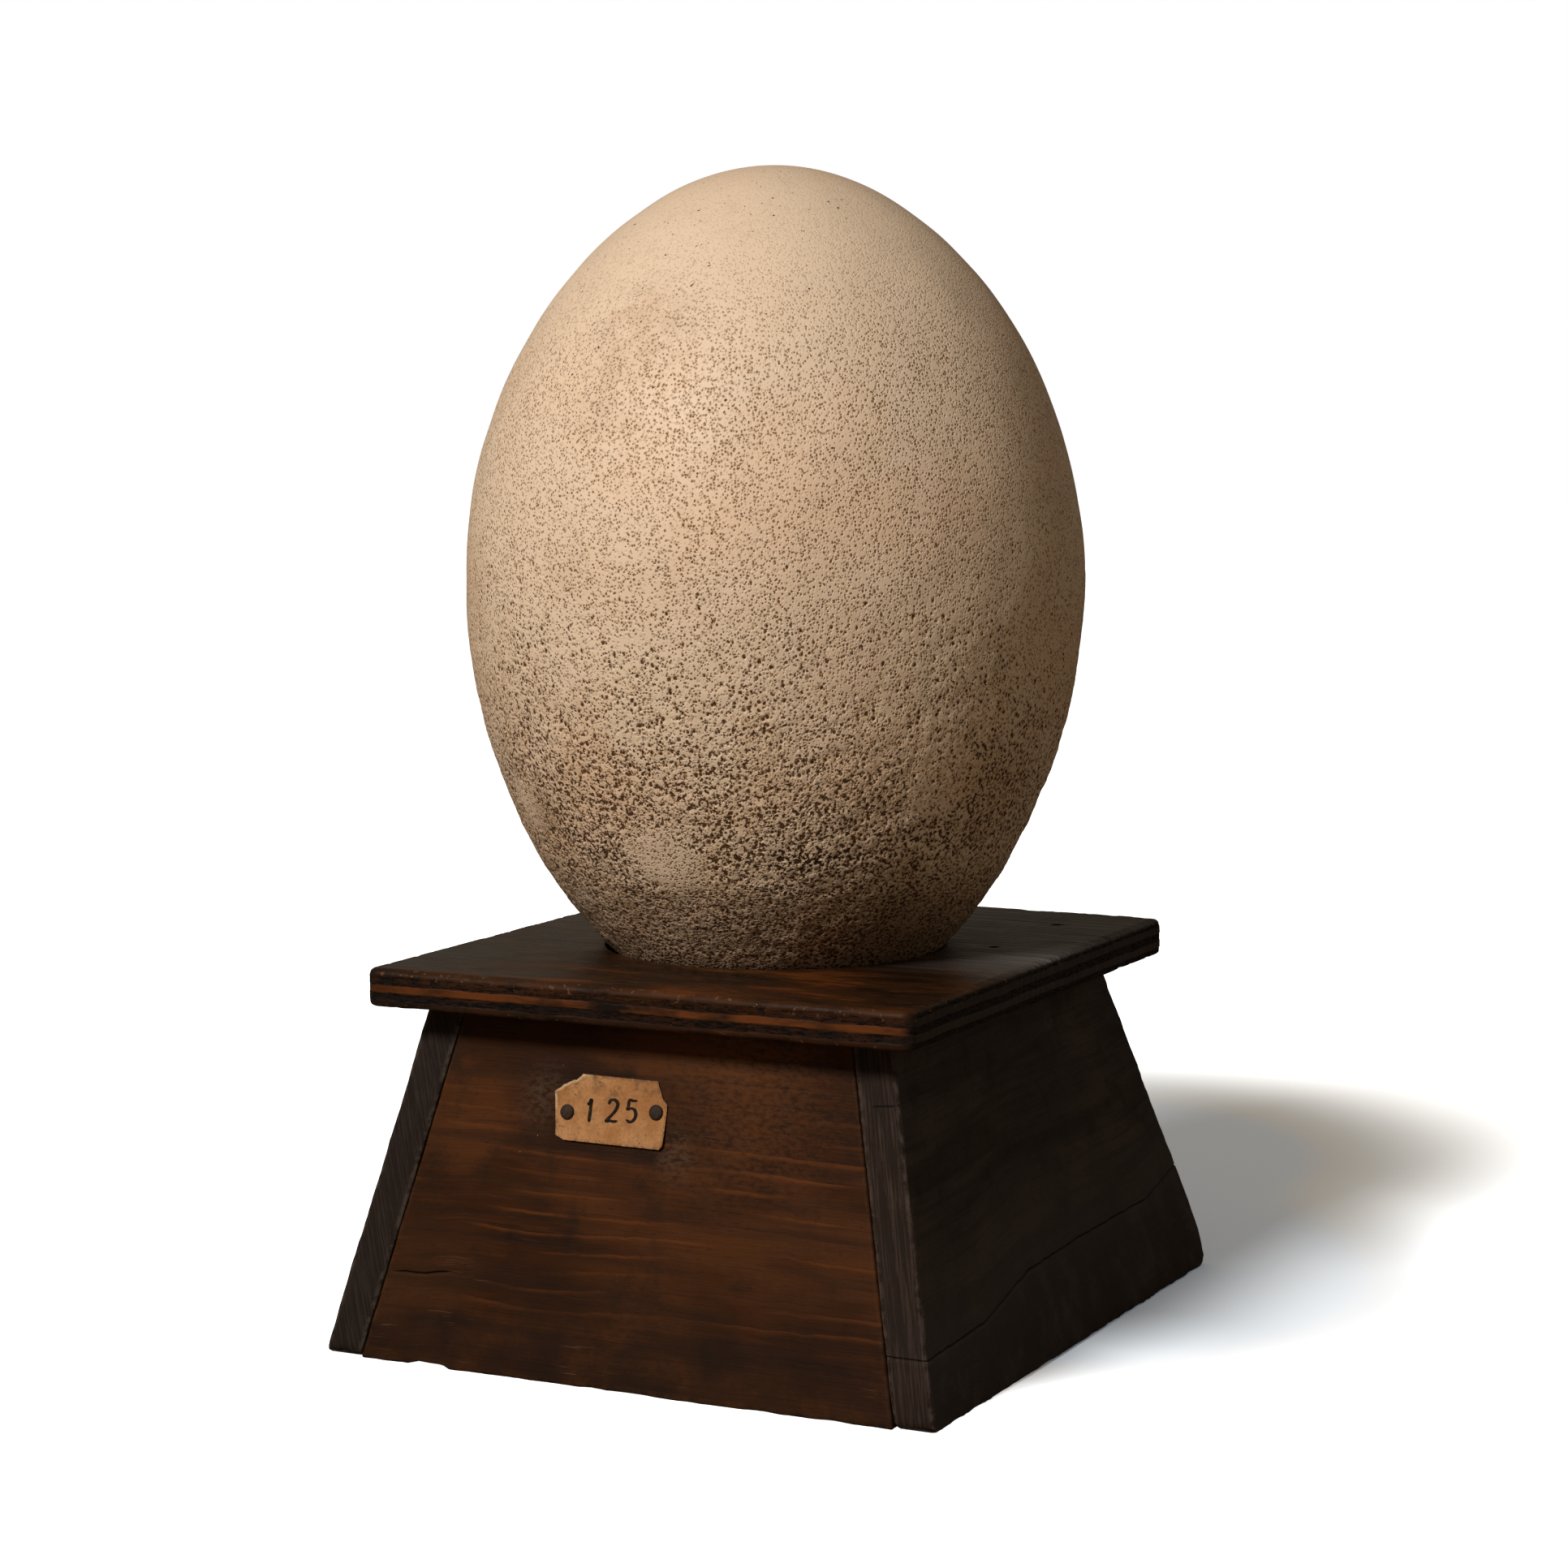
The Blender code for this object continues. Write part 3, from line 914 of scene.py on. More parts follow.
def make_mesh(name: str, points: np.ndarray, faces: Sequence[Sequence[int]]) -> bpy.types.Object:
    """Make a smooth-shaded mesh object.

    Args:
        name: The object's name.
        points: Its corners, one row each.
        faces: Corner numbers of each face.

    Returns:
        The object, linked to the scene.
    """
    mesh = bpy.data.meshes.new(name)
    mesh.from_pydata(np.asarray(points, float).tolist(), [], [list(map(int, f)) for f in faces])
    mesh.validate()
    mesh.shade_smooth()
    item = bpy.data.objects.new(name, mesh)
    bpy.context.scene.collection.objects.link(item)
    return item


def store(item: bpy.types.Object, name: str, values: np.ndarray) -> None:
    """Store a number or a point for each corner of a mesh.

    Args:
        item: The mesh's object.
        name: The attribute's name.
        values: One number or one row of three to a corner.
    """
    values = np.asarray(values, np.float32)
    vector = values.ndim == 2
    layer = item.data.attributes.new(name, "FLOAT_VECTOR" if vector else "FLOAT", "POINT")
    layer.data.foreach_set("vector" if vector else "value", values.ravel())


def settle(item: bpy.types.Object) -> None:
    """Apply an object's modifiers to its mesh.

    Args:
        item: The object.
    """
    graph = bpy.context.evaluated_depsgraph_get()
    mesh = bpy.data.meshes.new_from_object(item.evaluated_get(graph))
    old = item.data
    item.modifiers.clear()
    item.data = mesh
    bpy.data.meshes.remove(old)
    mesh.name = item.name


def dress(item: bpy.types.Object, material: bpy.types.Material, slot: Slot, *nodes: str) -> None:
    """Give a piece its finish, hang it under the root and hide the CAD nodes that it stands for.

    Args:
        item: The piece.
        material: Its material.
        slot: Not used.
        nodes: CAD nodes that it stands for.
    """
    item.data.materials.clear()
    item.data.materials.append(material)
    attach(item, "root")
    if nodes:
        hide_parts(*nodes)
    triangles = sum(len(face.vertices) - 2 for face in item.data.polygons)
    LOG.info("%s: %d triangles", item.name, triangles)


def cloud(point: Sequence[float], scale: float, seed: float = 0.0) -> float:
    """Smooth noise from -1 to 1.

    Args:
        point: Where it is read.
        scale: Features to a metre.
        seed: Shifts the pattern.

    Returns:
        The noise there.
    """
    return noise.noise(Vector((point[0] * scale + seed, point[1] * scale - seed,
                               point[2] * scale + 2.0 * seed)))


@dataclass(frozen=True)
class RingBand:
    """Rings of the egg's mesh down to a height: how far apart, and how many corners to a ring."""

    lowest: float
    spacing: float
    corners: int


@dataclass
class Egg:
    """The egg: a turned mesh, closest where the shell is pitted, with its relief sunk into it."""

    width: float = 0.2186
    upper_height: float = 0.1446
    lower_height: float = 0.1591
    upper_slimming: float = 0.067
    lower_slimming: float = 0.079
    widest_z: float = 0.2629
    axis: Pair = (-0.0018, -0.0067)
    bands: tuple[RingBand, ...] = (RingBand(0.385, 0.0026, 150), RingBand(0.330, 0.0024, 260),
                                   RingBand(0.255, 0.0020, 340), RingBand(0.225, 0.0012, 500),
                                   RingBand(0.137, 0.0009, 540), RingBand(0.100, 0.0030, 160))
    close_side: float = 26.3
    closeness: float = 0.30
    rough_places: tuple[ShellPlace, ...] = (
        ShellPlace(-21, 0.1783, 0.010, 0.45), ShellPlace(-13, 0.1755, 0.008, 0.40),
        ShellPlace(29, 0.1755, 0.009, 0.8), ShellPlace(36, 0.1740, 0.009, 0.8),
        ShellPlace(43, 0.1750, 0.009, 0.7), ShellPlace(31, 0.1700, 0.008, 0.4),
        ShellPlace(18, 0.1760, 0.007, 0.6), ShellPlace(-9, 0.2812, 0.006, 0.9),
        ShellPlace(12, 0.2753, 0.005, 0.8), ShellPlace(60, 0.1850, 0.014, 0.6),
        ShellPlace(140, 0.1800, 0.018, 0.8), ShellPlace(205, 0.1720, 0.016, 0.9),
        ShellPlace(262, 0.1880, 0.014, 0.7))
    calm_places: tuple[ShellPlace, ...] = (
        ShellPlace(0, 0.1740, 0.017, 0.95), ShellPlace(5, 0.1690, 0.014, 0.7),
        ShellPlace(-38, 0.1870, 0.013, 0.9), ShellPlace(60, 0.2000, 0.022, 0.45),
        ShellPlace(170, 0.2050, 0.024, 0.7), ShellPlace(235, 0.1950, 0.018, 0.7))
    stain_places: tuple[ShellPlace, ...] = (
        ShellPlace(-5.3, 0.3515, 0.030, 0.55), ShellPlace(-9.8, 0.3249, 0.020, 0.40),
        ShellPlace(-14.4, 0.2716, 0.018, 0.35), ShellPlace(38, 0.1490, 0.014, 0.80),
        ShellPlace(150, 0.3100, 0.030, 0.45), ShellPlace(240, 0.2900, 0.026, 0.45))
    # Brown places on the shell: partly dirt, partly painted shade on the sides away from the lamp and
    # near the seat.
    dirt_and_shade_places: tuple[ShellPlace, ...] = (
        ShellPlace(66, 0.1480, 0.034, 0.28), ShellPlace(28, 0.1500, 0.020, 0.10),
        ShellPlace(-32, 0.1860, 0.014, 0.35), ShellPlace(80, 0.1900, 0.034, 0.25),
        ShellPlace(150, 0.1600, 0.040, 0.45), ShellPlace(230, 0.1550, 0.036, 0.45))

    def radius(self, z: float) -> float:
        """Radius of the smooth outline at a height.

        Args:
            z: The height.

        Returns:
            The radius.
        """
        rise = z - self.widest_z
        height = self.upper_height if rise > 0 else self.lower_height
        slimming = self.upper_slimming if rise > 0 else self.lower_slimming
        part = min(1.0, abs(rise) / height)
        return self.width / 2 * math.sqrt(1 - part * part) * (1 - slimming * part * part)

    def spot(self, place: ShellPlace) -> tuple[Triple, float, float]:
        """A place on the shell as a point, its reach and its strength.

        Args:
            place: The place by bearing and height.

        Returns:
            The point, the reach and the strength.
        """
        angle = math.radians(place.bearing - 90.0)
        radius = self.radius(place.height)
        point = (self.axis[0] + radius * math.cos(angle), self.axis[1] + radius * math.sin(angle),
                 place.height)
        return point, place.reach, place.strength

    def ring_heights(self) -> list[tuple[float, int]]:
        """Heights of the rings from the top down, and how many corners each has.

        Returns:
            Pairs of height and corner count.
        """
        angles = np.radians(np.linspace(90, -90, 4001))
        tall = np.where(angles > 0, self.upper_height, self.lower_height)
        heights = self.widest_z + tall * np.sin(angles)
        radii = np.array([self.radius(z) for z in heights])
        walked = np.concatenate(([0.0], np.cumsum(np.hypot(np.diff(heights), np.diff(radii)))))
        rings: list[tuple[float, int]] = []
        start = 0.0
        for band in self.bands:
            end = float(np.interp(-band.lowest, -heights, walked))
            count = max(2, round((end - start) / band.spacing))
            for step in range(1, count + 1):
                at = start + (end - start) * step / count
                rings.append((float(np.interp(at, walked, heights)), band.corners))
            start = end
        return rings[:-1]

    def turns(self, count: int) -> np.ndarray:
        """Angles of a ring's corners, closest together on the side that is seen most."""
        turn = 2 * math.pi * np.arange(count) / count
        return turn - self.closeness * np.sin(turn) + math.radians(self.close_side - 90.0)

    def shape(self) -> bpy.types.Object:
        """Turn the smooth outline.

        Returns:
            The egg, still smooth, with its undisturbed points stored on it.
        """
        points: list[Triple] = [(self.axis[0], self.axis[1], self.widest_z + self.upper_height)]
        faces: list[tuple[int, ...]] = []
        before: tuple[int, np.ndarray] | None = None
        for z, count in self.ring_heights():
            angles = self.turns(count)
            first = len(points)
            radius = self.radius(z)
            points.extend((self.axis[0] + radius * math.cos(a), self.axis[1] + radius * math.sin(a), z)
                          for a in angles)
            if before is None:
                faces.extend((0, first + k, first + (k + 1) % count) for k in range(count))
            else:
                faces.extend(self.joined(before[0], before[1], first, angles))
            before = (first, angles)
        bottom = len(points)
        points.append((self.axis[0], self.axis[1], self.widest_z - self.lower_height))
        first, count = before[0], len(before[1])
        faces.extend((bottom, first + (k + 1) % count, first + k) for k in range(count))
        item = make_mesh("elephant_bird_egg", np.array(points), faces)
        store(item, REST, np.array(points))
        return item

    def joined(self, upper: int, upper_turns: np.ndarray, lower: int, lower_turns: np.ndarray
               ) -> list[tuple[int, ...]]:
        """Faces between two rings, which may have different numbers of corners.

        Args:
            upper: Number of the upper ring's first corner.
            upper_turns: Angles of its corners.
            lower: Number of the lower ring's first corner.
            lower_turns: Angles of its corners.

        Returns:
            The faces, as corner numbers.
        """
        above, below = len(upper_turns), len(lower_turns)
        if above == below:
            return [(upper + k, lower + k, lower + (k + 1) % below, upper + (k + 1) % above)
                    for k in range(above)]
        full = 2 * math.pi
        high = np.append(upper_turns, upper_turns[0] + full)
        low = np.append(lower_turns, lower_turns[0] + full)
        faces = []
        i = j = 0
        while i < above or j < below:
            if j >= below or (i < above and high[i + 1] <= low[j + 1]):
                faces.append((upper + i % above, lower + j % below, upper + (i + 1) % above))
                i += 1
            else:
                faces.append((upper + i % above, lower + j % below, lower + (j + 1) % below))
                j += 1
        return faces

    def weather(self, item: bpy.types.Object, relief: ShellRelief) -> None:
        """Sink the pits and swells into the mesh.

        Args:
            item: The smooth egg.
            relief: Its relief.
        """
        tree = bpy.data.node_groups.new("shell_relief", "GeometryNodeTree")
        tree.interface.new_socket("Shell", in_out="INPUT", socket_type="NodeSocketGeometry")
        tree.interface.new_socket("Shell", in_out="OUTPUT", socket_type="NodeSocketGeometry")
        graph = Graph(tree)
        pattern = relief.read(graph)
        close = pattern.height.span(0.262, 0.232)
        depth = (relief.coarse_relief(pattern) * close * relief.mesh_share
                 + relief.swells(graph, pattern))
        normal = graph.add("GeometryNodeInputNormal")
        inwards = graph.add("ShaderNodeVectorMath", {0: normal.outputs[0], "Scale": depth * -1.0},
                            operation="SCALE")
        start = graph.add("NodeGroupInput")
        move = graph.add("GeometryNodeSetPosition", {"Geometry": start.outputs[0],
                                                     "Offset": inwards.outputs[0]})
        graph.add("NodeGroupOutput", {0: move.outputs[0]})
        item.modifiers.new("relief", "NODES").node_group = tree
        settle(item)

    def build(self) -> None:
        """Make the egg and dress it."""
        relief = ShellRelief(tuple(map(self.spot, self.rough_places)),
                             tuple(map(self.spot, self.calm_places)))
        item = self.shape()
        self.weather(item, relief)
        stains, dirt = (list(map(self.spot, places))
                        for places in (self.stain_places, self.dirt_and_shade_places))
        material = ShellFinish().make(relief, stains, dirt)
        dress(item, material, Slot.SHELL, "egg")


@dataclass(frozen=True)
class Crack:
    """A crack across a board's outer face: places along it and heights, in the board's lengths."""

    route: tuple[Pair, ...]
    width: float
    depth: float

    def height(self, along: np.ndarray) -> np.ndarray:
        """Height of the crack at places along the board."""
        places, heights = zip(*self.route)
        return np.interp(along, places, heights)

    def share(self, along: np.ndarray) -> np.ndarray:
        """How open the crack is at places along the board, from zero to one."""
        start, end = self.route[0][0], self.route[-1][0]
        return np.clip(np.minimum(along - start, end - along) / 0.004 + 0.25, 0, 1)


@dataclass
class Block:
    """A board as a rounded block in its own lengths: along, up and into its thickness."""

    length: float
    height: float
    depth: float
    wear: float
    spacing: float
    seed: float
    crack: Crack | None = None
    corners: Pair = (0.0, 0.0)
    dents: float = 0.0003
    foot_wear: float = 0.0

    def lines(self, size: float, extra: Sequence[float] = ()) -> np.ndarray:
        """Grid lines along one side, close together near both ends.

        Args:
            size: The side's length.
            extra: Lines that have to be there.

        Returns:
            The places of the lines.
        """
        ends = [0.0, 0.25, 0.6, 1.0, 1.6, 2.4, 3.6]
        near = [self.wear * share for share in ends if self.wear * share < size * 0.4]
        count = max(1, round((size - 2 * near[-1]) / self.spacing))
        middle = np.linspace(near[-1], size - near[-1], count + 1)
        places = np.concatenate((near, middle, [size - place for place in near], extra))
        places = np.unique(np.round(places, 7))
        keep = [places[0]]
        for place in places[1:]:
            if place - keep[-1] > 0.00012:
                keep.append(place)
        keep[-1] = size
        return np.array(keep)

    def surface(self) -> tuple[np.ndarray, list[tuple[int, ...]]]:
        """Grid over the six sides of the block.

        Returns:
            Its points, in the block's own lengths, and its faces.
        """
        extra = []
        if self.crack:
            middle = self.crack.route[0][1]
            extra = [middle + self.crack.width * share for share in (-1.2, -0.5, 0.0, 0.5, 1.2)]
        lines = (self.lines(self.length), self.lines(self.height, extra), self.lines(self.depth))
        counts = [len(line) for line in lines]
        index: dict[tuple[int, int, int], int] = {}
        points: list[Triple] = []
        faces: list[tuple[int, ...]] = []

        def corner(i: int, j: int, k: int) -> int:
            """Number of the grid's corner, which is made when it is first asked for.

            Args:
                i: Number of its line along the board.
                j: Number of its line up the board.
                k: Number of its line into the board.

            Returns:
                The corner's number.
            """
            if (i, j, k) not in index:
                index[i, j, k] = len(points)
                points.append((lines[0][i], lines[1][j], lines[2][k]))
            return index[i, j, k]

        for axis in range(3):
            one, two = (axis + 1) % 3, (axis + 2) % 3
            for end in (0, counts[axis] - 1):
                for a in range(counts[one] - 1):
                    for b in range(counts[two] - 1):
                        loop = []
                        for da, db in ((0, 0), (1, 0), (1, 1), (0, 1)):
                            cell = [0, 0, 0]
                            cell[axis], cell[one], cell[two] = end, a + da, b + db
                            loop.append(corner(*cell))
                        faces.append(tuple(loop if end else loop[::-1]))
        return np.array(points), faces

    def worn(self, flat: np.ndarray) -> np.ndarray:
        """Round the edges, sink dents and open the crack.

        Args:
            flat: Points of the grid.

        Returns:
            The worn points, never outside the block.
        """
        size = np.array((self.length, self.height, self.depth))
        shaped = flat.copy()
        rounding = np.array([self.wear * (1.0 + 0.75 * cloud(p, 120.0, self.seed)
                                          + 0.45 * cloud(p, 420.0, self.seed)) for p in flat])
        rounding += self.wear * self.foot_wear * np.clip(1.0 - flat[:, 1] / 0.012, 0, 1)
        rounding *= np.where(flat[:, 2] > self.depth * 0.5, 0.55, 1.0)
        rounding = np.clip(rounding, self.wear * 0.35, self.wear * 2.6)[:, None]
        inner = np.clip(shaped, rounding, size - rounding)
        away = shaped - inner
        far = np.linalg.norm(away, axis=1, keepdims=True)
        shaped = np.where(far > 1e-9, inner + rounding * away / np.maximum(far, 1e-9), shaped)
        dent = np.array([max(0.0, cloud(p, 55.0, self.seed + 9)) * 0.6
                         + max(0.0, cloud(p, 210.0, self.seed + 5)) * 0.4 for p in flat])
        shaped[:, 2] += np.where(flat[:, 2] < self.depth * 0.3, dent * self.dents, 0)
        for radius, end in zip(self.corners, (0.0, self.length)):
            if radius:
                self.round_corner(shaped, radius, end)
        if self.crack:
            self.open_crack(flat, shaped)
        return shaped

    def round_corner(self, shaped: np.ndarray, radius: float, end: float) -> None:
        """Round one lower corner of the board.

        Args:
            shaped: Points, which are moved.
            radius: The corner's radius.
            end: Where the corner is along the board.
        """
        side = 1.0 if end == 0.0 else -1.0
        along = (shaped[:, 0] - end) * side - radius
        up = shaped[:, 1] - radius
        inside = (along < 0) & (up < 0)
        far = np.maximum(np.hypot(along, up), 1e-9)
        share = np.maximum(-along, -up) / far
        shaped[inside, 0] = (end + side * (radius + along * share))[inside]
        shaped[inside, 1] = (radius + up * share)[inside]

    def open_crack(self, flat: np.ndarray, shaped: np.ndarray) -> None:
        """Bend the grid to the crack's route and push its floor in.

        Args:
            flat: Points of the grid.
            shaped: The same points, worn, which are moved.
        """
        middle = self.crack.route[0][1]
        away = flat[:, 1] - middle
        share = np.where(away < 0, 1 + away / middle, 1 - away / (self.height - middle))
        ragged = np.array([cloud((p[0], 0, 0), 260.0, self.seed) for p in flat]) * 0.0004
        bend = self.crack.height(flat[:, 0]) - middle + ragged
        shaped[:, 1] += bend * np.clip(share, 0, 1)
        floor = np.clip(1 - np.abs(away) / (self.crack.width * 0.75), 0, 1)
        opened = self.crack.share(flat[:, 0]) * floor * self.crack.depth
        outer = flat[:, 2] < self.depth * 0.5
        shaped[:, 2] += np.where(outer, opened, 0)
        front = (flat[:, 0] < self.length * 0.01) & (self.crack.route[0][0] <= 0)
        shaped[:, 0] += np.where(front, floor * self.crack.depth * 0.5, 0)

    def edge_distance(self, flat: np.ndarray) -> np.ndarray:
        """Distance of each grid point from the nearest edge."""
        size = np.array((self.length, self.height, self.depth))
        return np.sort(np.minimum(flat, size - flat), axis=1)[:, 1]

    def build(self, name: str, place: Callable[[np.ndarray], np.ndarray]) -> bpy.types.Object:
        """Make the board.

        Args:
            name: The object's name.
            place: Turns points in the board's lengths into points in the scene.

        Returns:
            The board.
        """
        flat, faces = self.surface()
        item = make_mesh(name, place(self.worn(flat)), faces)
        store(item, BOARD, flat + np.array((self.seed * SEED_SHIFT, 0.0, 0.0)))
        store(item, EDGE, self.edge_distance(flat))
        return item


@dataclass
class Box:
    """The hollow box of four leaning boards."""

    foot_width: float = 0.2304
    foot_depth: float = 0.2590
    neck_width: float = 0.1754
    neck_front: float = -0.1022
    neck_back: float = 0.0806
    height: float = 0.1200
    side_thickness: float = 0.0145
    panel_thickness: float = 0.0140
    gap: float = 0.0003
    foot_corner: float = 0.0040
    foot_corner_back: float = 0.0110
    chip: Triple = (-0.0814, -0.0649, 0.0011)
    split: Crack = Crack(((0.0, 0.0225), (0.0506, 0.0241), (0.0936, 0.0321), (0.1446, 0.0336),
                          (0.2186, 0.0338), (0.2592, 0.0400)), 0.00042, 0.0022)
    front_crack: Crack = Crack(((0.0040, 0.0298), (0.0140, 0.0303), (0.0262, 0.0319)),
                               0.0004, 0.0016)
    smudges: tuple[Smudge, ...] = (Smudge((0.0500, 0.0920), 0.016, (0.085, 0.055, 0.036)),
                                   Smudge((0.1160, 0.0765), 0.013, (0.100, 0.062, 0.038)),
                                   Smudge((0.0880, 0.1045), 0.009, (0.009, 0.006, 0.005)),
                                   Smudge((0.1500, 0.1020), 0.060, (0.105, 0.038, 0.0120)),
                                   Smudge((0.1000, 0.0100), 0.060, (0.022, 0.0095, 0.0040)),
                                   Smudge((0.1750, 0.0400), 0.040, (0.030, 0.0120, 0.0050)),
                                   Smudge((0.0080, 0.0350), 0.040, (0.026, 0.0130, 0.0070)))
    front_seed: float = 1.7
    back_seed: float = 4.1
    left_seed: float = 2.3
    right_seed: float = 6.9

    def side_x(self, z: np.ndarray) -> np.ndarray:
        """Half width over the side boards at a height."""
        return self.foot_width / 2 - z * (self.foot_width - self.neck_width) / 2 / self.height

    def front_y(self, z: np.ndarray) -> np.ndarray:
        """Outer face of the front board at a height."""
        return -self.foot_depth / 2 + z * (self.neck_front + self.foot_depth / 2) / self.height

    def back_y(self, z: np.ndarray) -> np.ndarray:
        """Outer face of the back board at a height."""
        return self.foot_depth / 2 + z * (self.neck_back - self.foot_depth / 2) / self.height

    def panel(self, name: str, node: str, front: bool, finish: BoardFinish, seed: float,
              crack: Crack | None = None) -> None:
        """Make the front or back board, let in between the side boards.

        Args:
            name: The piece's name.
            node: The CAD node that it stands for.
            front: True for the front board.
            finish: Its finish.
            seed: Sets its own grain and dents.
            crack: A crack in it.
        """
        length = self.foot_width - 2 * (self.side_thickness + self.gap)
        block = Block(length, self.height, self.panel_thickness, 0.0010, 0.0021, seed, crack)

        def place(local: np.ndarray) -> np.ndarray:
            """Turn the board's lengths into points in the scene.

            Args:
                local: Rows of along, up and into the board.

            Returns:
                The points.
            """
            along, up, into = local.T
            foot = up.copy()
            if front:
                left, right, rise = self.chip
                across = along - length / 2
                chipped = np.clip(np.minimum(across - left, right - across) / 0.003, 0, 1)
                ragged = np.array([max(0.0, cloud((x, 3.0, 0.0), 70.0, seed)) * 0.0008
                                   for x in along])
                foot = up + (chipped * rise + ragged) * np.clip(1 - up / 0.010, 0, 1)
            half = self.side_x(foot) - self.side_thickness - self.gap
            x = (along / length * 2 - 1) * half * (1 if front else -1)
            y = self.front_y(foot) + into if front else self.back_y(foot) - into
            return np.stack((x, y, foot), axis=1)

        item = block.build(name, place)
        item.data.flip_normals()
        dress(item, finish.make(), Slot.LONG_GRAIN, node)

    def side(self, name: str, node: str, side: int, finish: BoardFinish, seed: float,
             crack: Crack | None = None) -> None:
        """Make a side board, whose edge shows at the front.

        Args:
            name: The piece's name.
            node: The CAD node that it stands for.
            side: 1 for the right board, -1 for the left one.
            finish: Its finish.
            seed: Sets its own grain and dents.
            crack: A crack in it.
        """
        block = Block(self.foot_depth, self.height, self.side_thickness, 0.0015, 0.0022, seed, crack,
                      (self.foot_corner, self.foot_corner_back), foot_wear=0.4)

        def place(local: np.ndarray) -> np.ndarray:
            """Turn the board's lengths into points in the scene.

            Args:
                local: Rows of along, up and into the board.

            Returns:
                The points.
            """
            along, up, into = local.T
            share = along / self.foot_depth
            y = self.front_y(up) * (1 - share) + self.back_y(up) * share
            return np.stack((side * (self.side_x(up) - into), y, up), axis=1)

        item = block.build(name, place)
        if side > 0:
            item.data.flip_normals()
        dress(item, finish.make(), Slot.SIDE_GRAIN, node)

    def build(self) -> None:
        """Make the four boards and dress them."""
        front = BoardFinish("front_wood", heart=(0.031, 0.0096, 0.0024), warm=(0.070, 0.0220, 0.0056),
                            line=(0.135, 0.039, 0.0074), pale=(0.120, 0.062, 0.031),
                            shift=self.front_seed * SEED_SHIFT, waves=0.011, edge_wear=0.15,
                            smudges=self.smudges)
        back = BoardFinish("back_wood", heart=(0.031, 0.0100, 0.0027), warm=(0.066, 0.0215, 0.0056),
                           line=(0.110, 0.034, 0.0070), pale=(0.115, 0.060, 0.031),
                           line_share=0.5, spacing=0.0080)
        left = BoardFinish("left_side_wood", heart=(0.0360, 0.0275, 0.0262),
                           warm=(0.0540, 0.0385, 0.0340), line=(0.058, 0.037, 0.0280),
                           pale=(0.072, 0.052, 0.040), line_share=0.25, floor_light_paint=0.60, spacing=0.0090,
                           edge_wear=0.75, gloss=0.62, specular=0.08, saw_share=1.0,
                           saw_slant=0.55, saw_pale=0.14, sawn=(0.0200, 0.0112, 0.0070),
                           shift=self.left_seed * SEED_SHIFT)
        right = replace(left, name="right_side_wood", saw_slant=0.02, saw_pale=0.36, nick=0.1010,
                        sawn=(0.0340, 0.0185, 0.0115), shift=self.right_seed * SEED_SHIFT)
        self.panel("front_panel", "front_board", True, front, self.front_seed, self.front_crack)
        self.panel("back_panel", "back_board", False, back, self.back_seed)
        self.side("left_side_panel", "left_side_board", -1, left, self.left_seed)
        self.side("right_side_panel", "right_side_board", 1, right, self.right_seed, self.split)


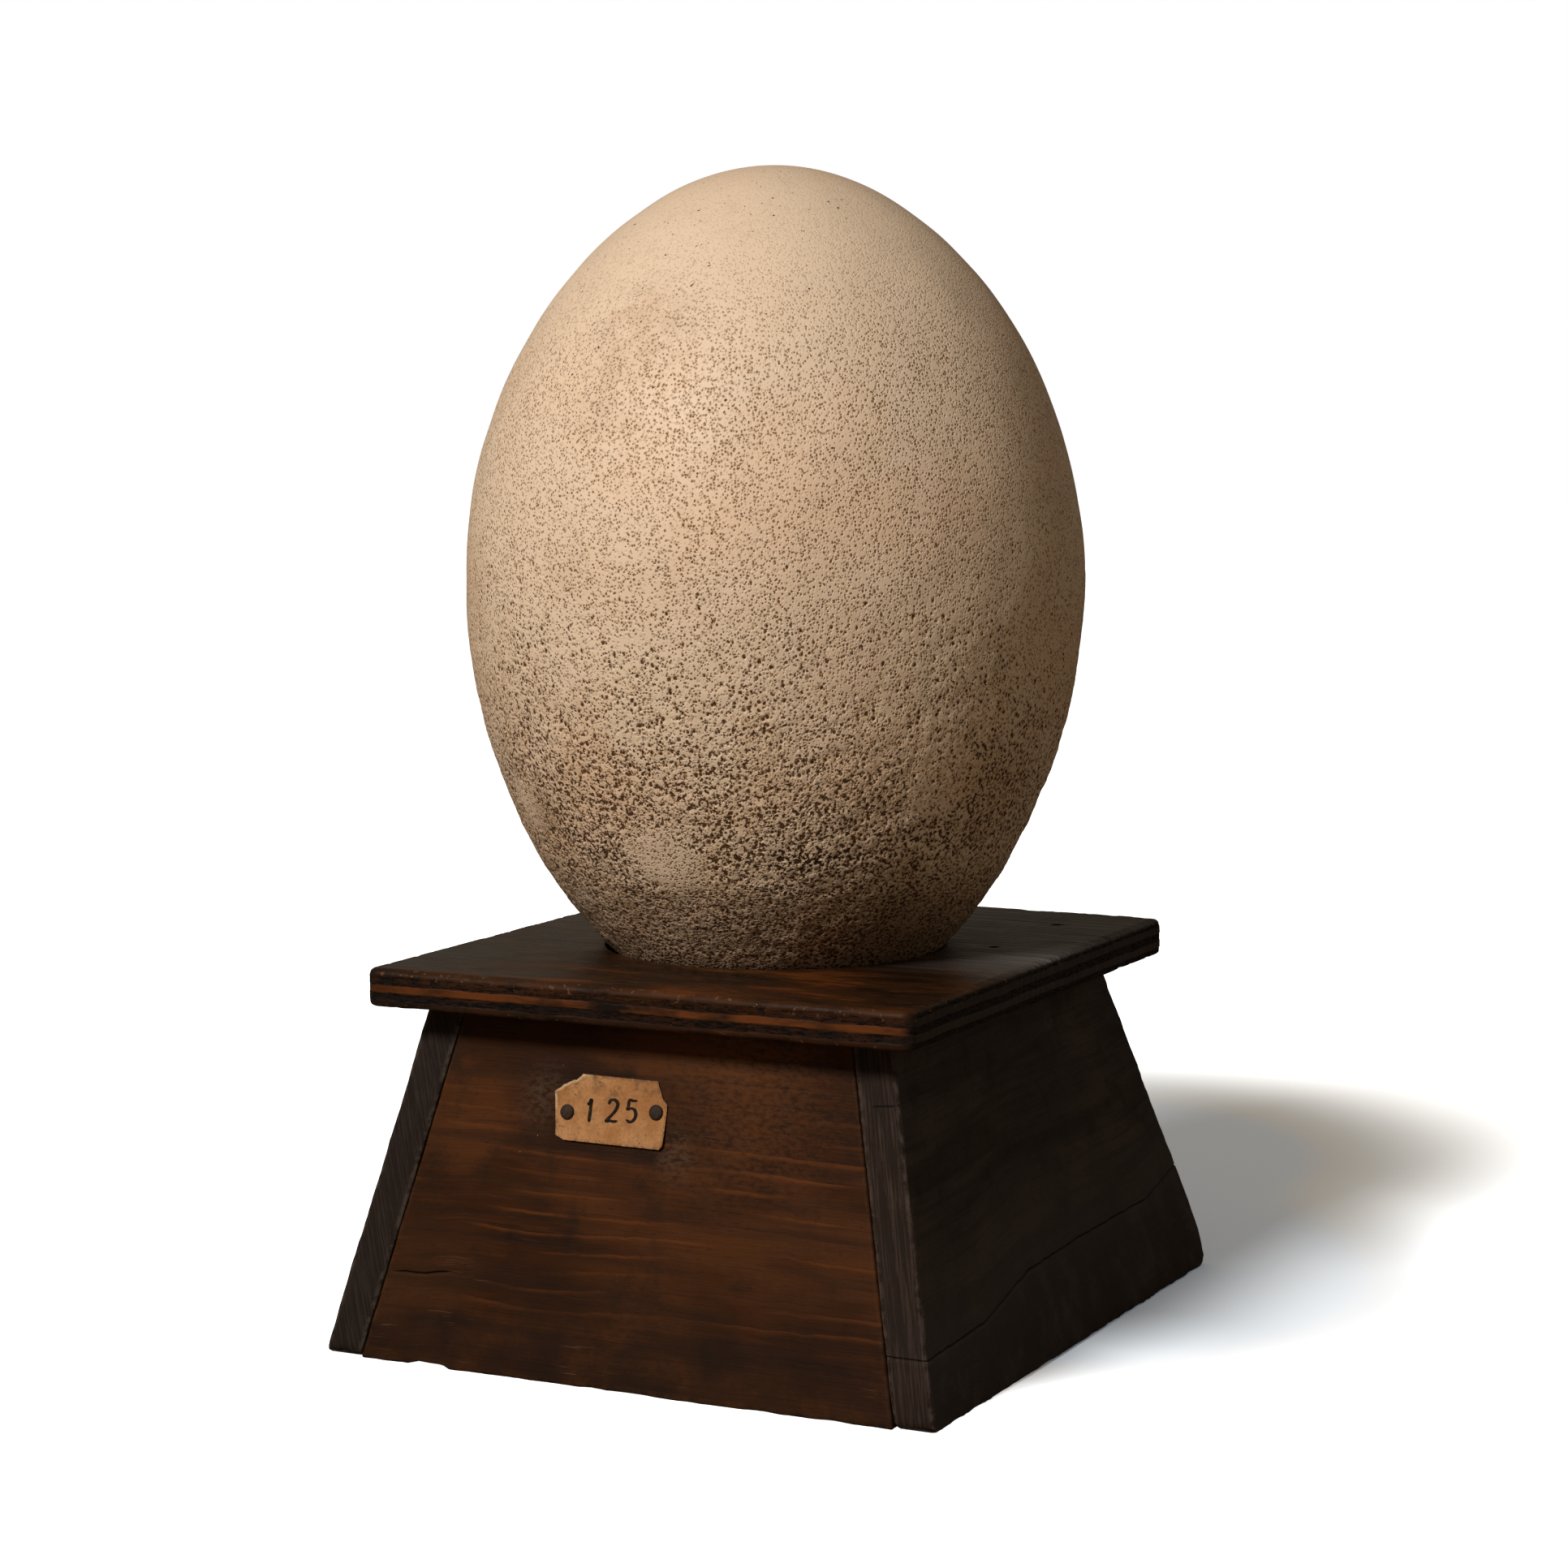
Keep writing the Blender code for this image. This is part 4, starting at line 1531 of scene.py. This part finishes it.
@dataclass
class TopBoard:
    """The plywood top: a ring of loops from the seat hole over the top and round the edge."""

    width: float = 0.2054
    depth: float = 0.2282
    thickness: float = 0.0135
    centre: Pair = (-0.0005, -0.0054)
    underside: float = 0.1203
    corner: float = 0.0048
    arris: float = 0.0027
    hole_centre: Pair = (-0.0027, -0.0074)
    hole_radius: float = 0.0606
    chamfer: float = 0.0020
    tight_chamfer: float = 0.0007
    tight_side: Pair = (-0.79, -0.61)
    tight_fit: float = 0.0010
    columns: int = 840
    surface_rings: int = 46
    edge_rows: int = 26
    nail_x: float = 0.0730
    nail_y: Pair = (0.0162, 0.0747)
    nail_radius: float = 0.0016
    nail_lean: float = math.atan((0.2306 - 0.1754) / 2 / 0.1200)
    nail_above: float = 0.006
    nail_below: float = 0.030
    nail_corners: int = 20
    low_arris: float = 0.0020
    hole_lip: float = 0.0004
    sheltered: float = 0.004
    seed: float = 3.3

    def outline(self) -> tuple[np.ndarray, np.ndarray]:
        """The board's rounded outline, at even steps round it.

        Returns:
            Points of the outline and the outward normals there.
        """
        half = np.array((self.width / 2 - self.corner, self.depth / 2 - self.corner))
        quarter = math.pi / 2 * self.corner
        runs = [2 * half[1], quarter, 2 * half[0], quarter, 2 * half[1], quarter, 2 * half[0], quarter]
        starts = np.concatenate(([0.0], np.cumsum(runs)))
        places, normals = [], []
        signs = ((1, -1), (1, 1), (-1, 1), (-1, -1))
        for step in range(self.columns):
            at = starts[-1] * step / self.columns
            run = int(np.searchsorted(starts, at, side="right")) - 1
            part = (at - starts[run]) / runs[run]
            side = run // 2
            turn = side * math.pi / 2
            if run % 2 == 0:
                normal = np.array((math.cos(turn), math.sin(turn)))
                first = np.array(signs[side]) * half
                second = np.array(signs[(side + 1) % 4]) * half
                core = first + (second - first) * part
            else:
                normal = np.array((math.cos(turn + part * math.pi / 2),
                                   math.sin(turn + part * math.pi / 2)))
                core = np.array(signs[(side + 1) % 4]) * half
            places.append(core + normal * self.corner + np.array(self.centre))
            normals.append(normal)
        return np.array(places), np.array(normals)

    def loops(self) -> list[tuple[np.ndarray, np.ndarray, np.ndarray]]:
        """Loops round the board, from the top of the hole over the edge and back under it.

        Returns:
            For each loop its points, the way out of the wood there, and its distance from an arris.
        """
        outer, normals = self.outline()
        centre = np.array(self.hole_centre)
        ray = outer - centre
        ray /= np.linalg.norm(ray, axis=1, keepdims=True)
        top = self.underside + self.thickness
        toward = (1 + ray @ np.array(self.tight_side)) / 2
        chamfer = self.chamfer + (self.tight_chamfer - self.chamfer) * toward
        hole = self.hole_radius - self.tight_fit * toward ** 2
        mouth = centre + ray * (hole + chamfer)[:, None]
        bore = centre + ray * hole[:, None]
        inset = outer - normals * self.arris * 1.6
        up = np.array((0.0, 0.0, 1.0))
        side = np.column_stack((normals, np.zeros(len(normals))))
        wall = np.column_stack((-ray, np.zeros(len(ray))))

        def loop(flat: np.ndarray, z: float | np.ndarray, out: np.ndarray, edge: float | np.ndarray
                 ) -> tuple[np.ndarray, np.ndarray, np.ndarray]:
            """One loop, level or with a height for each column.

            Args:
                flat: Its places across the board.
                z: Its height.
                out: The way out of the wood.
                edge: Its distance from an arris.

            Returns:
                Its points, the ways out and the distances.
            """
            count = len(flat)
            points = np.column_stack((flat, np.broadcast_to(z, (count,))))
            direction = np.broadcast_to(out, (count, 3)).copy()
            return points, direction, np.broadcast_to(edge, (count,)).astype(float).copy()

        rows = []
        lip, far = self.hole_lip, self.sheltered
        for share in np.linspace(0, 1, 9)[:-1]:
            z = self.underside + lip + (self.thickness - chamfer - lip) * share
            rows.append(loop(bore, z, wall, far))
        for share in np.linspace(0, 1, 6):
            turn = share * math.pi / 2
            flat = centre + ray * (hole + chamfer * (1 - math.cos(turn)))[:, None]
            out = wall * math.cos(turn) + up * math.sin(turn)
            rows.append(loop(flat, top - chamfer * (1 - math.sin(turn)), out, far))
        for share in np.linspace(0, 1, self.surface_rings + 1)[1:]:
            share = 0.5 * share + 0.5 * (1 - (1 - share) ** 1.8)
            flat = mouth + (inset - mouth) * share
            edge = np.minimum(np.linalg.norm(flat - mouth, axis=1) + far,
                              np.linalg.norm(flat - outer, axis=1))
            rows.append(loop(flat, top, up, edge))
        radius = self.arris
        for share in np.linspace(0, 1, 9):
            turn = share * math.pi / 2
            flat = outer - normals * radius * (1 - math.sin(turn))
            out = side * math.sin(turn) + up * math.cos(turn)
            rows.append(loop(flat, top - radius * (1 - math.cos(turn)), out, 0.0))
        low = self.low_arris
        for share in np.linspace(0, 1, self.edge_rows + 1)[1:]:
            z = top - radius - (self.thickness - radius - low) * share
            rows.append(loop(outer, z, side, min(top - radius - z, z - self.underside)))
        for share in np.linspace(0, 1, 5)[1:]:
            turn = share * math.pi / 2
            flat = outer - normals * low * (1 - math.cos(turn))
            out = side * math.cos(turn) - up * math.sin(turn)
            rows.append(loop(flat, self.underside + low * (1 - math.sin(turn)), out, 0.0))
        for share in np.linspace(0, 1, 9)[1:]:
            flat = (outer - normals * low) * (1 - share) + bore * share
            rows.append(loop(flat, self.underside + lip * share, -up, far))
        return rows[:-1]

    def weathered(self, point: np.ndarray, out: np.ndarray, edge: float, across: float) -> float:
        """How deep the surface lies below the sharp board at a point.

        Args:
            point: The point.
            out: The way out of the wood.
            edge: Distance from the nearest arris.
            across: One on the left and right edges, zero on the front and back ones.

        Returns:
            The depth, in metres.
        """
        top = self.underside + self.thickness
        upper = max(0.0, out[2])
        side = 1.0 - abs(out[2])
        depth = 0.00022 * (0.5 + 0.5 * cloud(point, 42.0, self.seed)) * (1 - 0.5 * side)
        near = max(0.0, 1.0 - edge / 0.0025)
        depth += near * 0.0006 * max(0.0, cloud(point, 90.0, self.seed + 4) - 0.05)
        depth += near * 0.0004 * max(0.0, cloud(point, 330.0, self.seed + 2) - 0.1)
        ply = (point[2] - self.underside) / (self.thickness / 5)
        soft = 1.0 if int(ply) in (1, 3) else 0.0
        porous = abs(soft - across) * (1.0 if point[2] < top - 0.0012 else 0.0)
        depth += side * porous * 0.00022
        fleck = noise.noise(Vector((point[0] * 300, point[1] * 300, point[2] * 1500)))
        depth += side * porous * 0.0006 * max(0.0, fleck - 0.15)
        ridge = noise.noise(Vector((point[0] * 12, point[1] * 520, 4.0)))
        worn = across * min(1.0, max(0.0, (point[1] + 0.05) / 0.05))
        depth += worn * near * upper * 0.0007 * max(0.0, ridge)
        return depth

    def build(self) -> None:
        """Make the top board and dress it."""
        rows = self.loops()
        _, normals = self.outline()
        across = np.abs(normals[:, 0]) ** 2
        flat, outs, edges = (np.concatenate(lists) for lists in zip(*rows))
        sides = np.tile(across, len(rows))
        points = [place - out * self.weathered(place, out, edge, share)
                  for place, out, edge, share in zip(flat, outs, edges, sides)]
        faces = []
        count = self.columns
        for row in range(len(rows)):
            after = (row + 1) % len(rows)
            for column in range(count):
                beside = (column + 1) % count
                faces.append((row * count + column, after * count + column,
                              after * count + beside, row * count + beside))
        item = make_mesh("plywood_top", np.array(points), faces)
        store(item, BOARD, flat)
        store(item, EDGE, edges)
        store(item, ACROSS, sides)
        item.data.flip_normals()
        self.sink_nails(item)
        material = PlywoodFinish(self.underside, self.thickness).make()
        dress(item, material, Slot.PLYWOOD, "top_board")

    def sink_nails(self, item: bpy.types.Object) -> None:
        """Cut the two nail holes.

        Args:
            item: The board.
        """
        for y in self.nail_y:
            points, faces = [], []
            corners = self.nail_corners
            for z in (self.nail_above, -self.nail_below):
                for step in range(corners):
                    turn = 2 * math.pi * step / corners
                    points.append((self.nail_radius * math.cos(turn),
                                   self.nail_radius * math.sin(turn), z))
            faces.append(tuple(range(corners)))
            faces.append(tuple(range(2 * corners - 1, corners - 1, -1)))
            faces += [(step, corners + step, corners + (step + 1) % corners, (step + 1) % corners)
                      for step in range(corners)]
            cutter = make_mesh("nail_hole", np.array(points), faces)
            cutter.data.shade_flat()
            cutter.matrix_world = (Matrix.Translation((self.nail_x, y, self.underside
                                                       + self.thickness))
                                   @ Matrix.Rotation(-self.nail_lean, 4, "Y"))
            step = item.modifiers.new("nail_hole", "BOOLEAN")
            step.operation = "DIFFERENCE"
            step.object = cutter
            step.solver = "EXACT"
            bpy.context.view_layer.update()
            settle(item)
            bpy.data.objects.remove(cutter)


@dataclass
class Label:
    """The paper label on the front board, with its number in ink and its two tacks."""

    lean: float = math.atan((-0.1022 + 0.1296) / 0.1200)
    grid_start: Pair = (-0.0355, 0.0785)
    grid_step: float = 0.00075
    grid_counts: tuple[int, int] = (64, 36)
    torn_place: Pair = (-0.029, 0.0985)
    ink_gap: float = 0.00003
    ink_thickness: float = 0.00002
    tack_corners: int = 44
    tack_gap: float = 0.0002
    front_foot: float = -0.1296
    thickness: float = 0.00022
    proud: float = 0.00034
    corners: tuple[Pair, ...] = ((-0.0344, 0.0949), (-0.0327, 0.0806), (-0.0292, 0.0792),
                                 (0.0071, 0.0791), (0.0084, 0.0805), (0.0085, 0.0936),
                                 (0.0067, 0.0954), (0.0041, 0.1011), (-0.0243, 0.1012),
                                 (-0.0262, 0.0992), (-0.0300, 0.0978))
    tacks: tuple[Pair, ...] = ((-0.0290, 0.0884), (0.0046, 0.0910))
    tack_radius: float = 0.0026
    digit_height: float = 0.0073
    digit_places: tuple[Pair, ...] = ((-0.0204, 0.0894), (-0.0118, 0.0901), (-0.0047, 0.0907))
    stroke: float = 0.00130

    def lift(self, x: float, z: float) -> float:
        """How far the paper stands off the board: flat under the tacks, curled at its ends.

        Args:
            x: Place across the front.
            z: Height of the place on the face.

        Returns:
            The distance from the face.
        """
        tacked = min(math.hypot(x - tx, z - tz) for tx, tz in self.tacks)
        loose = min(1.0, max(0.0, (tacked - 0.003) / 0.008))
        wave = 0.5 + 0.5 * cloud((x, z, 0.0), 70.0, 1.4)
        corner = max(0.0, 1 - math.hypot(x + 0.0290, z - 0.0990) / 0.012) * 0.0007
        right = max(0.0, (x - 0.0035) / 0.005) ** 2 * 0.0005
        low = max(0.0, (0.0830 - z) / 0.004) * 0.0003
        return self.proud + loose * (wave * 0.00030 + corner + right + low)

    def on_board(self, x: float, z: float, off: float) -> Triple:
        """Point over the front board's face.

        Args:
            x: Place across the front.
            z: Height of the place on the face.
            off: Distance from the face.

        Returns:
            The point.
        """
        y = self.front_foot + z * math.tan(self.lean)
        return (x, y - math.cos(self.lean) * off, z + math.sin(self.lean) * off)

    def torn_outline(self) -> list[Vector]:
        """The label's outline, with fine raggedness that is strongest at the torn corner.

        Returns:
            Points across the front and up it.
        """
        outline = []
        for index, start in enumerate(self.corners):
            first, second = Vector(start), Vector(self.corners[(index + 1) % len(self.corners)])
            run = second - first
            side = Vector((run.y, -run.x)).normalized()
            steps = max(2, round(run.length / 0.0004))
            for step in range(steps):
                point = first + run * step / steps
                torn = max(0.0, 1 - (point - Vector(self.torn_place)).length / 0.009)
                rough = cloud((point.x, point.y, 0), 600.0, 2.0) * (0.00010 + 0.00055 * torn)
                rough += cloud((point.x, point.y, 0), 1700.0, 5.0) * (0.00006 + 0.00020 * torn)
                outline.append(point + side * rough)
        return outline

    def build_paper(self) -> None:
        """Make the paper sheet and dress it."""
        outline = self.torn_outline()
        count = len(outline)
        inner = []
        step = self.grid_step
        left, low = self.grid_start
        for i in range(self.grid_counts[0]):
            for j in range(self.grid_counts[1]):
                point = Vector((left + i * step + (j % 2) * step / 2, low + j * step * 0.87))
                far = min((point - place).length for place in outline)
                if far > step * 0.6 and self.inside(point, outline):
                    inner.append(point)
        rim = [(k, (k + 1) % count) for k in range(count)]
        places, _, faces, *_ = geometry.delaunay_2d_cdt(outline + inner, rim, [], 1, 1e-7)
        edge = np.array([min((place - other).length for other in outline) for place in places])
        under = [self.on_board(p.x, p.y, self.lift(p.x, p.y)) for p in places]
        over = [self.on_board(p.x, p.y, self.lift(p.x, p.y) + self.thickness) for p in places]
        total = len(places)
        closed = [tuple(k + total for k in face) for face in faces]
        closed += [tuple(reversed(face)) for face in faces]
        counts: dict[tuple[int, int], int] = {}
        for face in faces:
            for k, first in enumerate(face):
                counts[first, face[(k + 1) % len(face)]] = 1
        for first, second in counts:
            if (second, first) not in counts:
                closed.append((first, second, second + total, first + total))
        item = make_mesh("paper_label", np.array(under + over), closed)
        store(item, REST, np.array(under + over))
        store(item, EDGE, np.concatenate((edge, edge)))
        item.data.set_sharp_from_angle(angle=math.radians(50))
        dress(item, PaperFinish().make(), Slot.PAPER, "label")

    @staticmethod
    def inside(point: Vector, outline: Sequence[Vector]) -> bool:
        """Tell whether a point lies inside a closed outline.

        Args:
            point: The point.
            outline: The outline's points in order.

        Returns:
            True if it does.
        """
        found = False
        for index, first in enumerate(outline):
            second = outline[index - 1]
            if (first.y > point.y) != (second.y > point.y):
                cross = first.x + (point.y - first.y) / (second.y - first.y) * (second.x - first.x)
                if point.x < cross:
                    found = not found
        return found

    def digits(self) -> list[list[Pair]]:
        """Pen strokes of a plain number, each digit one unit tall around its own centre.

        Returns:
            One list of points to a stroke, in the order of the digits' places.
        """
        one = [(-0.16, 0.26), (-0.02, 0.40), (0.03, 0.50), (0.02, 0.15), (0.01, -0.20), (0.0, -0.50)]
        two = [(-0.24, 0.28), (-0.14, 0.47), (0.06, 0.50), (0.22, 0.38), (0.22, 0.18), (0.08, -0.06),
               (-0.12, -0.28), (-0.27, -0.47), (-0.10, -0.44), (0.10, -0.46), (0.30, -0.42)]
        five = [(0.27, 0.48), (0.05, 0.46), (-0.14, 0.47), (-0.18, 0.22), (-0.20, 0.06),
                (-0.02, 0.12), (0.16, 0.05), (0.24, -0.14), (0.18, -0.36), (-0.02, -0.49),
                (-0.24, -0.40)]
        return [one, two, five]

    def build_number(self) -> None:
        """Make the inked number as thin strokes that follow the paper."""
        points: list[Triple] = []
        faces: list[tuple[int, ...]] = []
        for index, ((x, z), line) in enumerate(zip(self.digit_places, self.digits())):
            fine = self.flowing(line)
            lefts, rights = [], []
            for k, place in enumerate(fine):
                before, after = fine[max(0, k - 1)], fine[min(len(fine) - 1, k + 1)]
                way = (after - before).normalized()
                share = k / (len(fine) - 1)
                press = 0.62 + 0.38 * abs(way.y) + 0.16 * cloud((place.x, place.y, index), 3.0, 7.0)
                taper = min(1.0, share * 14 + 0.45, (1 - share) * 12 + 0.35)
                half = self.stroke / 2 * press * taper
                side = Vector((-way.y, way.x)) * half
                centre = Vector((x, z)) + place * self.digit_height
                lefts.append(centre + side)
                rights.append(centre - side)
            first = len(points)
            for left, right in zip(lefts, rights):
                for p in (left, right):
                    off = self.lift(p.x, p.y) + self.thickness
                    points.append(self.on_board(p.x, p.y, off + self.ink_gap))
            faces += [(a, a + 1, a + 3, a + 2) for a in range(first, len(points) - 2, 2)]
        item = make_mesh("label_number", np.array(points), faces)
        solid = item.modifiers.new("ink", "SOLIDIFY")
        solid.thickness = self.ink_thickness
        solid.offset = 0.0
        settle(item)
        store(item, REST, np.array([corner.co for corner in item.data.vertices]))
        dress(item, InkFinish().make(), Slot.PAPER)

    @staticmethod
    def flowing(line: Sequence[Pair], steps: int = 9) -> list[Vector]:
        """Smooth a stroke through its points.

        Args:
            line: The stroke's points.
            steps: Points to add between two of them.

        Returns:
            The smooth stroke.
        """
        knots = [Vector(place) for place in line]
        knots = [knots[0] * 2 - knots[1], *knots, knots[-1] * 2 - knots[-2]]
        smooth = []
        for k in range(1, len(knots) - 2):
            a, b, c, d = knots[k - 1:k + 3]
            for step in range(steps):
                t = step / steps
                smooth.append(0.5 * (2 * b + (c - a) * t + (2 * a - 5 * b + 4 * c - d) * t * t
                                     + (3 * b - a - 3 * c + d) * t ** 3))
        smooth.append(knots[-2])
        return smooth

    def build_tack(self, name: str, node: str, place: Pair, seed: float,
                   material: bpy.types.Material) -> None:
        """Make a domed tack with a dented, slightly uneven head.

        Args:
            name: The piece's name.
            node: The CAD node that it stands for.
            place: Where it is on the front board.
            seed: Sets its dents.
            material: Its material.
        """
        profile = [(0.0, 0.00105)]
        for step in range(1, 11):
            turn = math.pi / 2 * step / 10
            profile.append((self.tack_radius * 0.97 * math.sin(turn),
                            0.00018 + 0.00087 * math.cos(turn) ** 0.8))
        profile += [(self.tack_radius, 0.00010), (self.tack_radius * 0.96, 0.0),
                    (0.0007, 0.0), (0.0006, -0.0060), (0.0, -0.0068)]
        corners = self.tack_corners
        base = self.proud + self.thickness + self.tack_gap
        points = [self.on_tack(place, 0.0, 0.0, profile[0][1] + base)]
        faces: list[tuple[int, ...]] = []
        for ring, (radius, high) in enumerate(profile[1:-1]):
            first = len(points)
            for step in range(corners):
                turn = 2 * math.pi * step / corners
                x, z = radius * math.cos(turn), radius * math.sin(turn)
                dent = 0.00012 * cloud((x, z, high), 750.0, seed) if high > 0.0002 else 0.0
                out = 1 + 0.02 * cloud((math.cos(turn), math.sin(turn), 0), 1.6, seed)
                points.append(self.on_tack(place, x * min(1.0, out), z * min(1.0, out),
                                           high + base - abs(dent)))
            for step in range(corners):
                after = (step + 1) % corners
                if ring == 0:
                    faces.append((0, first + step, first + after))
                else:
                    faces.append((first - corners + step, first + step, first + after,
                                  first - corners + after))
        tip = len(points)
        points.append(self.on_tack(place, 0.0, 0.0, profile[-1][1] + base))
        faces += [(tip, tip - corners + (step + 1) % corners, tip - corners + step)
                  for step in range(corners)]
        item = make_mesh(name, np.array(points), faces)
        dress(item, material, Slot.IRON, node)

    def on_tack(self, place: Pair, x: float, up: float, off: float) -> Triple:
        """Point of a tack: x and up lie in the board's face, off is the distance from it."""
        return self.on_board(place[0] + x, place[1] + up * math.cos(self.lean), off)

    def build(self) -> None:
        """Make the label, its number and its tacks, and dress the nails."""
        self.build_paper()
        self.build_number()
        iron = IronFinish().make()
        for seed, (side, place) in enumerate(zip(("left", "right"), self.tacks)):
            self.build_tack(f"{side}_tack", f"tack_{side}", place, 3.0 + seed, iron)
        for node in ("nail_front", "nail_back"):
            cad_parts[node].data.materials[0] = iron
            LOG.info("%s keeps its CAD shape", node)


@dataclass
class Studio:
    """Pale floor, one soft lamp from the upper left front, a weak surround and the camera."""

    camera_place: Triple = (0.57623, -1.16918, 0.33557)
    camera_turn: float = 26.3088
    camera_pitch: float = 6.3792
    camera_roll: float = -0.1085
    lens: float = 84.418
    lamp_bearing: float = -12.5
    lamp_height: float = 37.0
    lamp_distance: float = 2.0
    lamp_size: float = 0.42
    lamp_width: float = 0.68
    lamp_power: float = 34.0
    lamp_aim: Triple = (0.0, 0.0, 0.20)
    lamp_colour: Colour = (1.0, 0.985, 0.965)
    surround: float = 0.17
    surround_colour: Colour = (1.0, 0.84, 0.64)
    floor_reach: float = 8.0
    floor_steps: int = 16
    floor_low: Colour = (0.74, 0.785, 0.84)
    floor_high: Colour = (0.78, 0.825, 0.88)
    floor_bounce: Colour = (0.30, 0.25, 0.19)
    shade_colour: Colour = (0.50, 0.92, 1.45)
    shade_glow: float = 0.055
    shade_behind: tuple[Triple, float, float] = ((-0.03, 0.28, 0.0), 0.30, 0.34)
    shade_beside: tuple[Triple, float, float] = ((0.045, 0.085, 0.0), 0.215, 0.58)

    def build_camera(self) -> None:
        """Make the camera of the photograph's view."""
        data = bpy.data.cameras.new("camera")
        data.sensor_width = 36.0
        data.lens = self.lens
        camera = bpy.data.objects.new("camera", data)
        camera.matrix_world = (Matrix.Translation(self.camera_place)
                               @ Matrix.Rotation(math.radians(self.camera_turn), 4, "Z")
                               @ Matrix.Rotation(math.radians(90 - self.camera_pitch), 4, "X")
                               @ Matrix.Rotation(math.radians(self.camera_roll), 4, "Z"))
        bpy.context.scene.collection.objects.link(camera)
        bpy.context.scene.camera = camera

    def build_lamp(self) -> None:
        """Make the soft key lamp."""
        data = bpy.data.lights.new("key_lamp", "AREA")
        data.shape = "ELLIPSE"
        data.size = self.lamp_width
        data.size_y = self.lamp_size
        data.energy = self.lamp_power
        data.color = self.lamp_colour
        bearing, height = math.radians(self.lamp_bearing), math.radians(self.lamp_height)
        way = Vector((math.sin(bearing) * math.cos(height), -math.cos(bearing) * math.cos(height),
                      math.sin(height)))
        lamp = bpy.data.objects.new("key_lamp", data)
        lamp.location = Vector(self.lamp_aim) + way * self.lamp_distance
        lamp.rotation_euler = way.to_track_quat("Z", "Y").to_euler()
        bpy.context.scene.collection.objects.link(lamp)

    def build_surround(self) -> None:
        """White behind the object, and a weak even light on it."""
        world = bpy.data.worlds.new("surround")
        world.use_nodes = True
        bpy.context.scene.world = world
        graph = Graph(world.node_tree)
        light = graph.tree.nodes["Background"]
        graph.feed(light.inputs["Color"], self.surround_colour)
        graph.feed(light.inputs["Strength"], self.surround)
        white = graph.add("ShaderNodeBackground", {"Color": (1.0, 1.0, 1.0)})
        graph.show(light, white, graph.tree.nodes["World Output"])

    def build_floor(self) -> None:
        """Make the pale floor, which fades to white away from the object through a glow that only the
        camera sees.
        """
        size, steps = self.floor_reach, self.floor_steps
        lines = np.linspace(-size, size, steps + 1)
        points = [(x, y, 0.0) for y in lines for x in lines]
        faces = [(r * (steps + 1) + c, r * (steps + 1) + c + 1, (r + 1) * (steps + 1) + c + 1,
                  (r + 1) * (steps + 1) + c) for r in range(steps) for c in range(steps)]
        floor = make_mesh("floor", np.array(points), faces)
        store(floor, REST, np.array(points))
        graph = Surface("pale_floor")
        place = graph.attribute(REST)
        paper = graph.noise(place, 30.0, 3.0)
        behind = graph.near(place, *self.shade_behind)
        beside = graph.near(place, *self.shade_beside)
        near = behind + beside * (1.0 - behind)
        graph.feed(graph.shader.inputs["Base Color"],
                   graph.mixed(self.floor_low, self.floor_high, paper))
        graph.feed(graph.shader.inputs["Roughness"], 0.9)
        graph.feed(graph.shader.inputs["Specular IOR Level"], 0.1)
        # Painted light: within the two masks the glow drops so the lamp's shadow shows, and the weak
        # glow left there, with the blue floor colours, paints a blue tint into that shade.
        white = graph.mixed((1.0, 1.0, 1.0), self.shade_colour, near.span(0.90, 1.0))
        glow = graph.add("ShaderNodeEmission", {
            "Color": white, "Strength": near.span(0.0, 1.0, 1.0, self.shade_glow)})
        second = graph.add("ShaderNodeBsdfDiffuse", {"Color": self.floor_low})
        plain = graph.add("ShaderNodeBsdfDiffuse", {"Color": self.floor_bounce})
        bright = graph.add("ShaderNodeAddShader", {0: graph.shader.outputs[0], 1: second.outputs[0]})
        both = graph.add("ShaderNodeAddShader", {0: bright.outputs[0], 1: glow.outputs[0]})
        graph.show(plain, both, graph.tree.nodes["Material Output"])
        floor.data.materials.append(graph.material)

    def build(self) -> None:
        """Set up the studio."""
        self.build_camera()
        self.build_lamp()
        self.build_surround()
        self.build_floor()
        view = bpy.context.scene.view_settings
        view.view_transform = "Standard"
        view.look = "None"


def main() -> None:
    """Build every piece."""
    logging.basicConfig(level=logging.INFO, format="%(message)s")
    for part in (Studio(), Box(), TopBoard(), Label(), Egg()):
        part.build()
        LOG.info("%s is done", type(part).__name__)


if __name__ == "__main__":
    main()
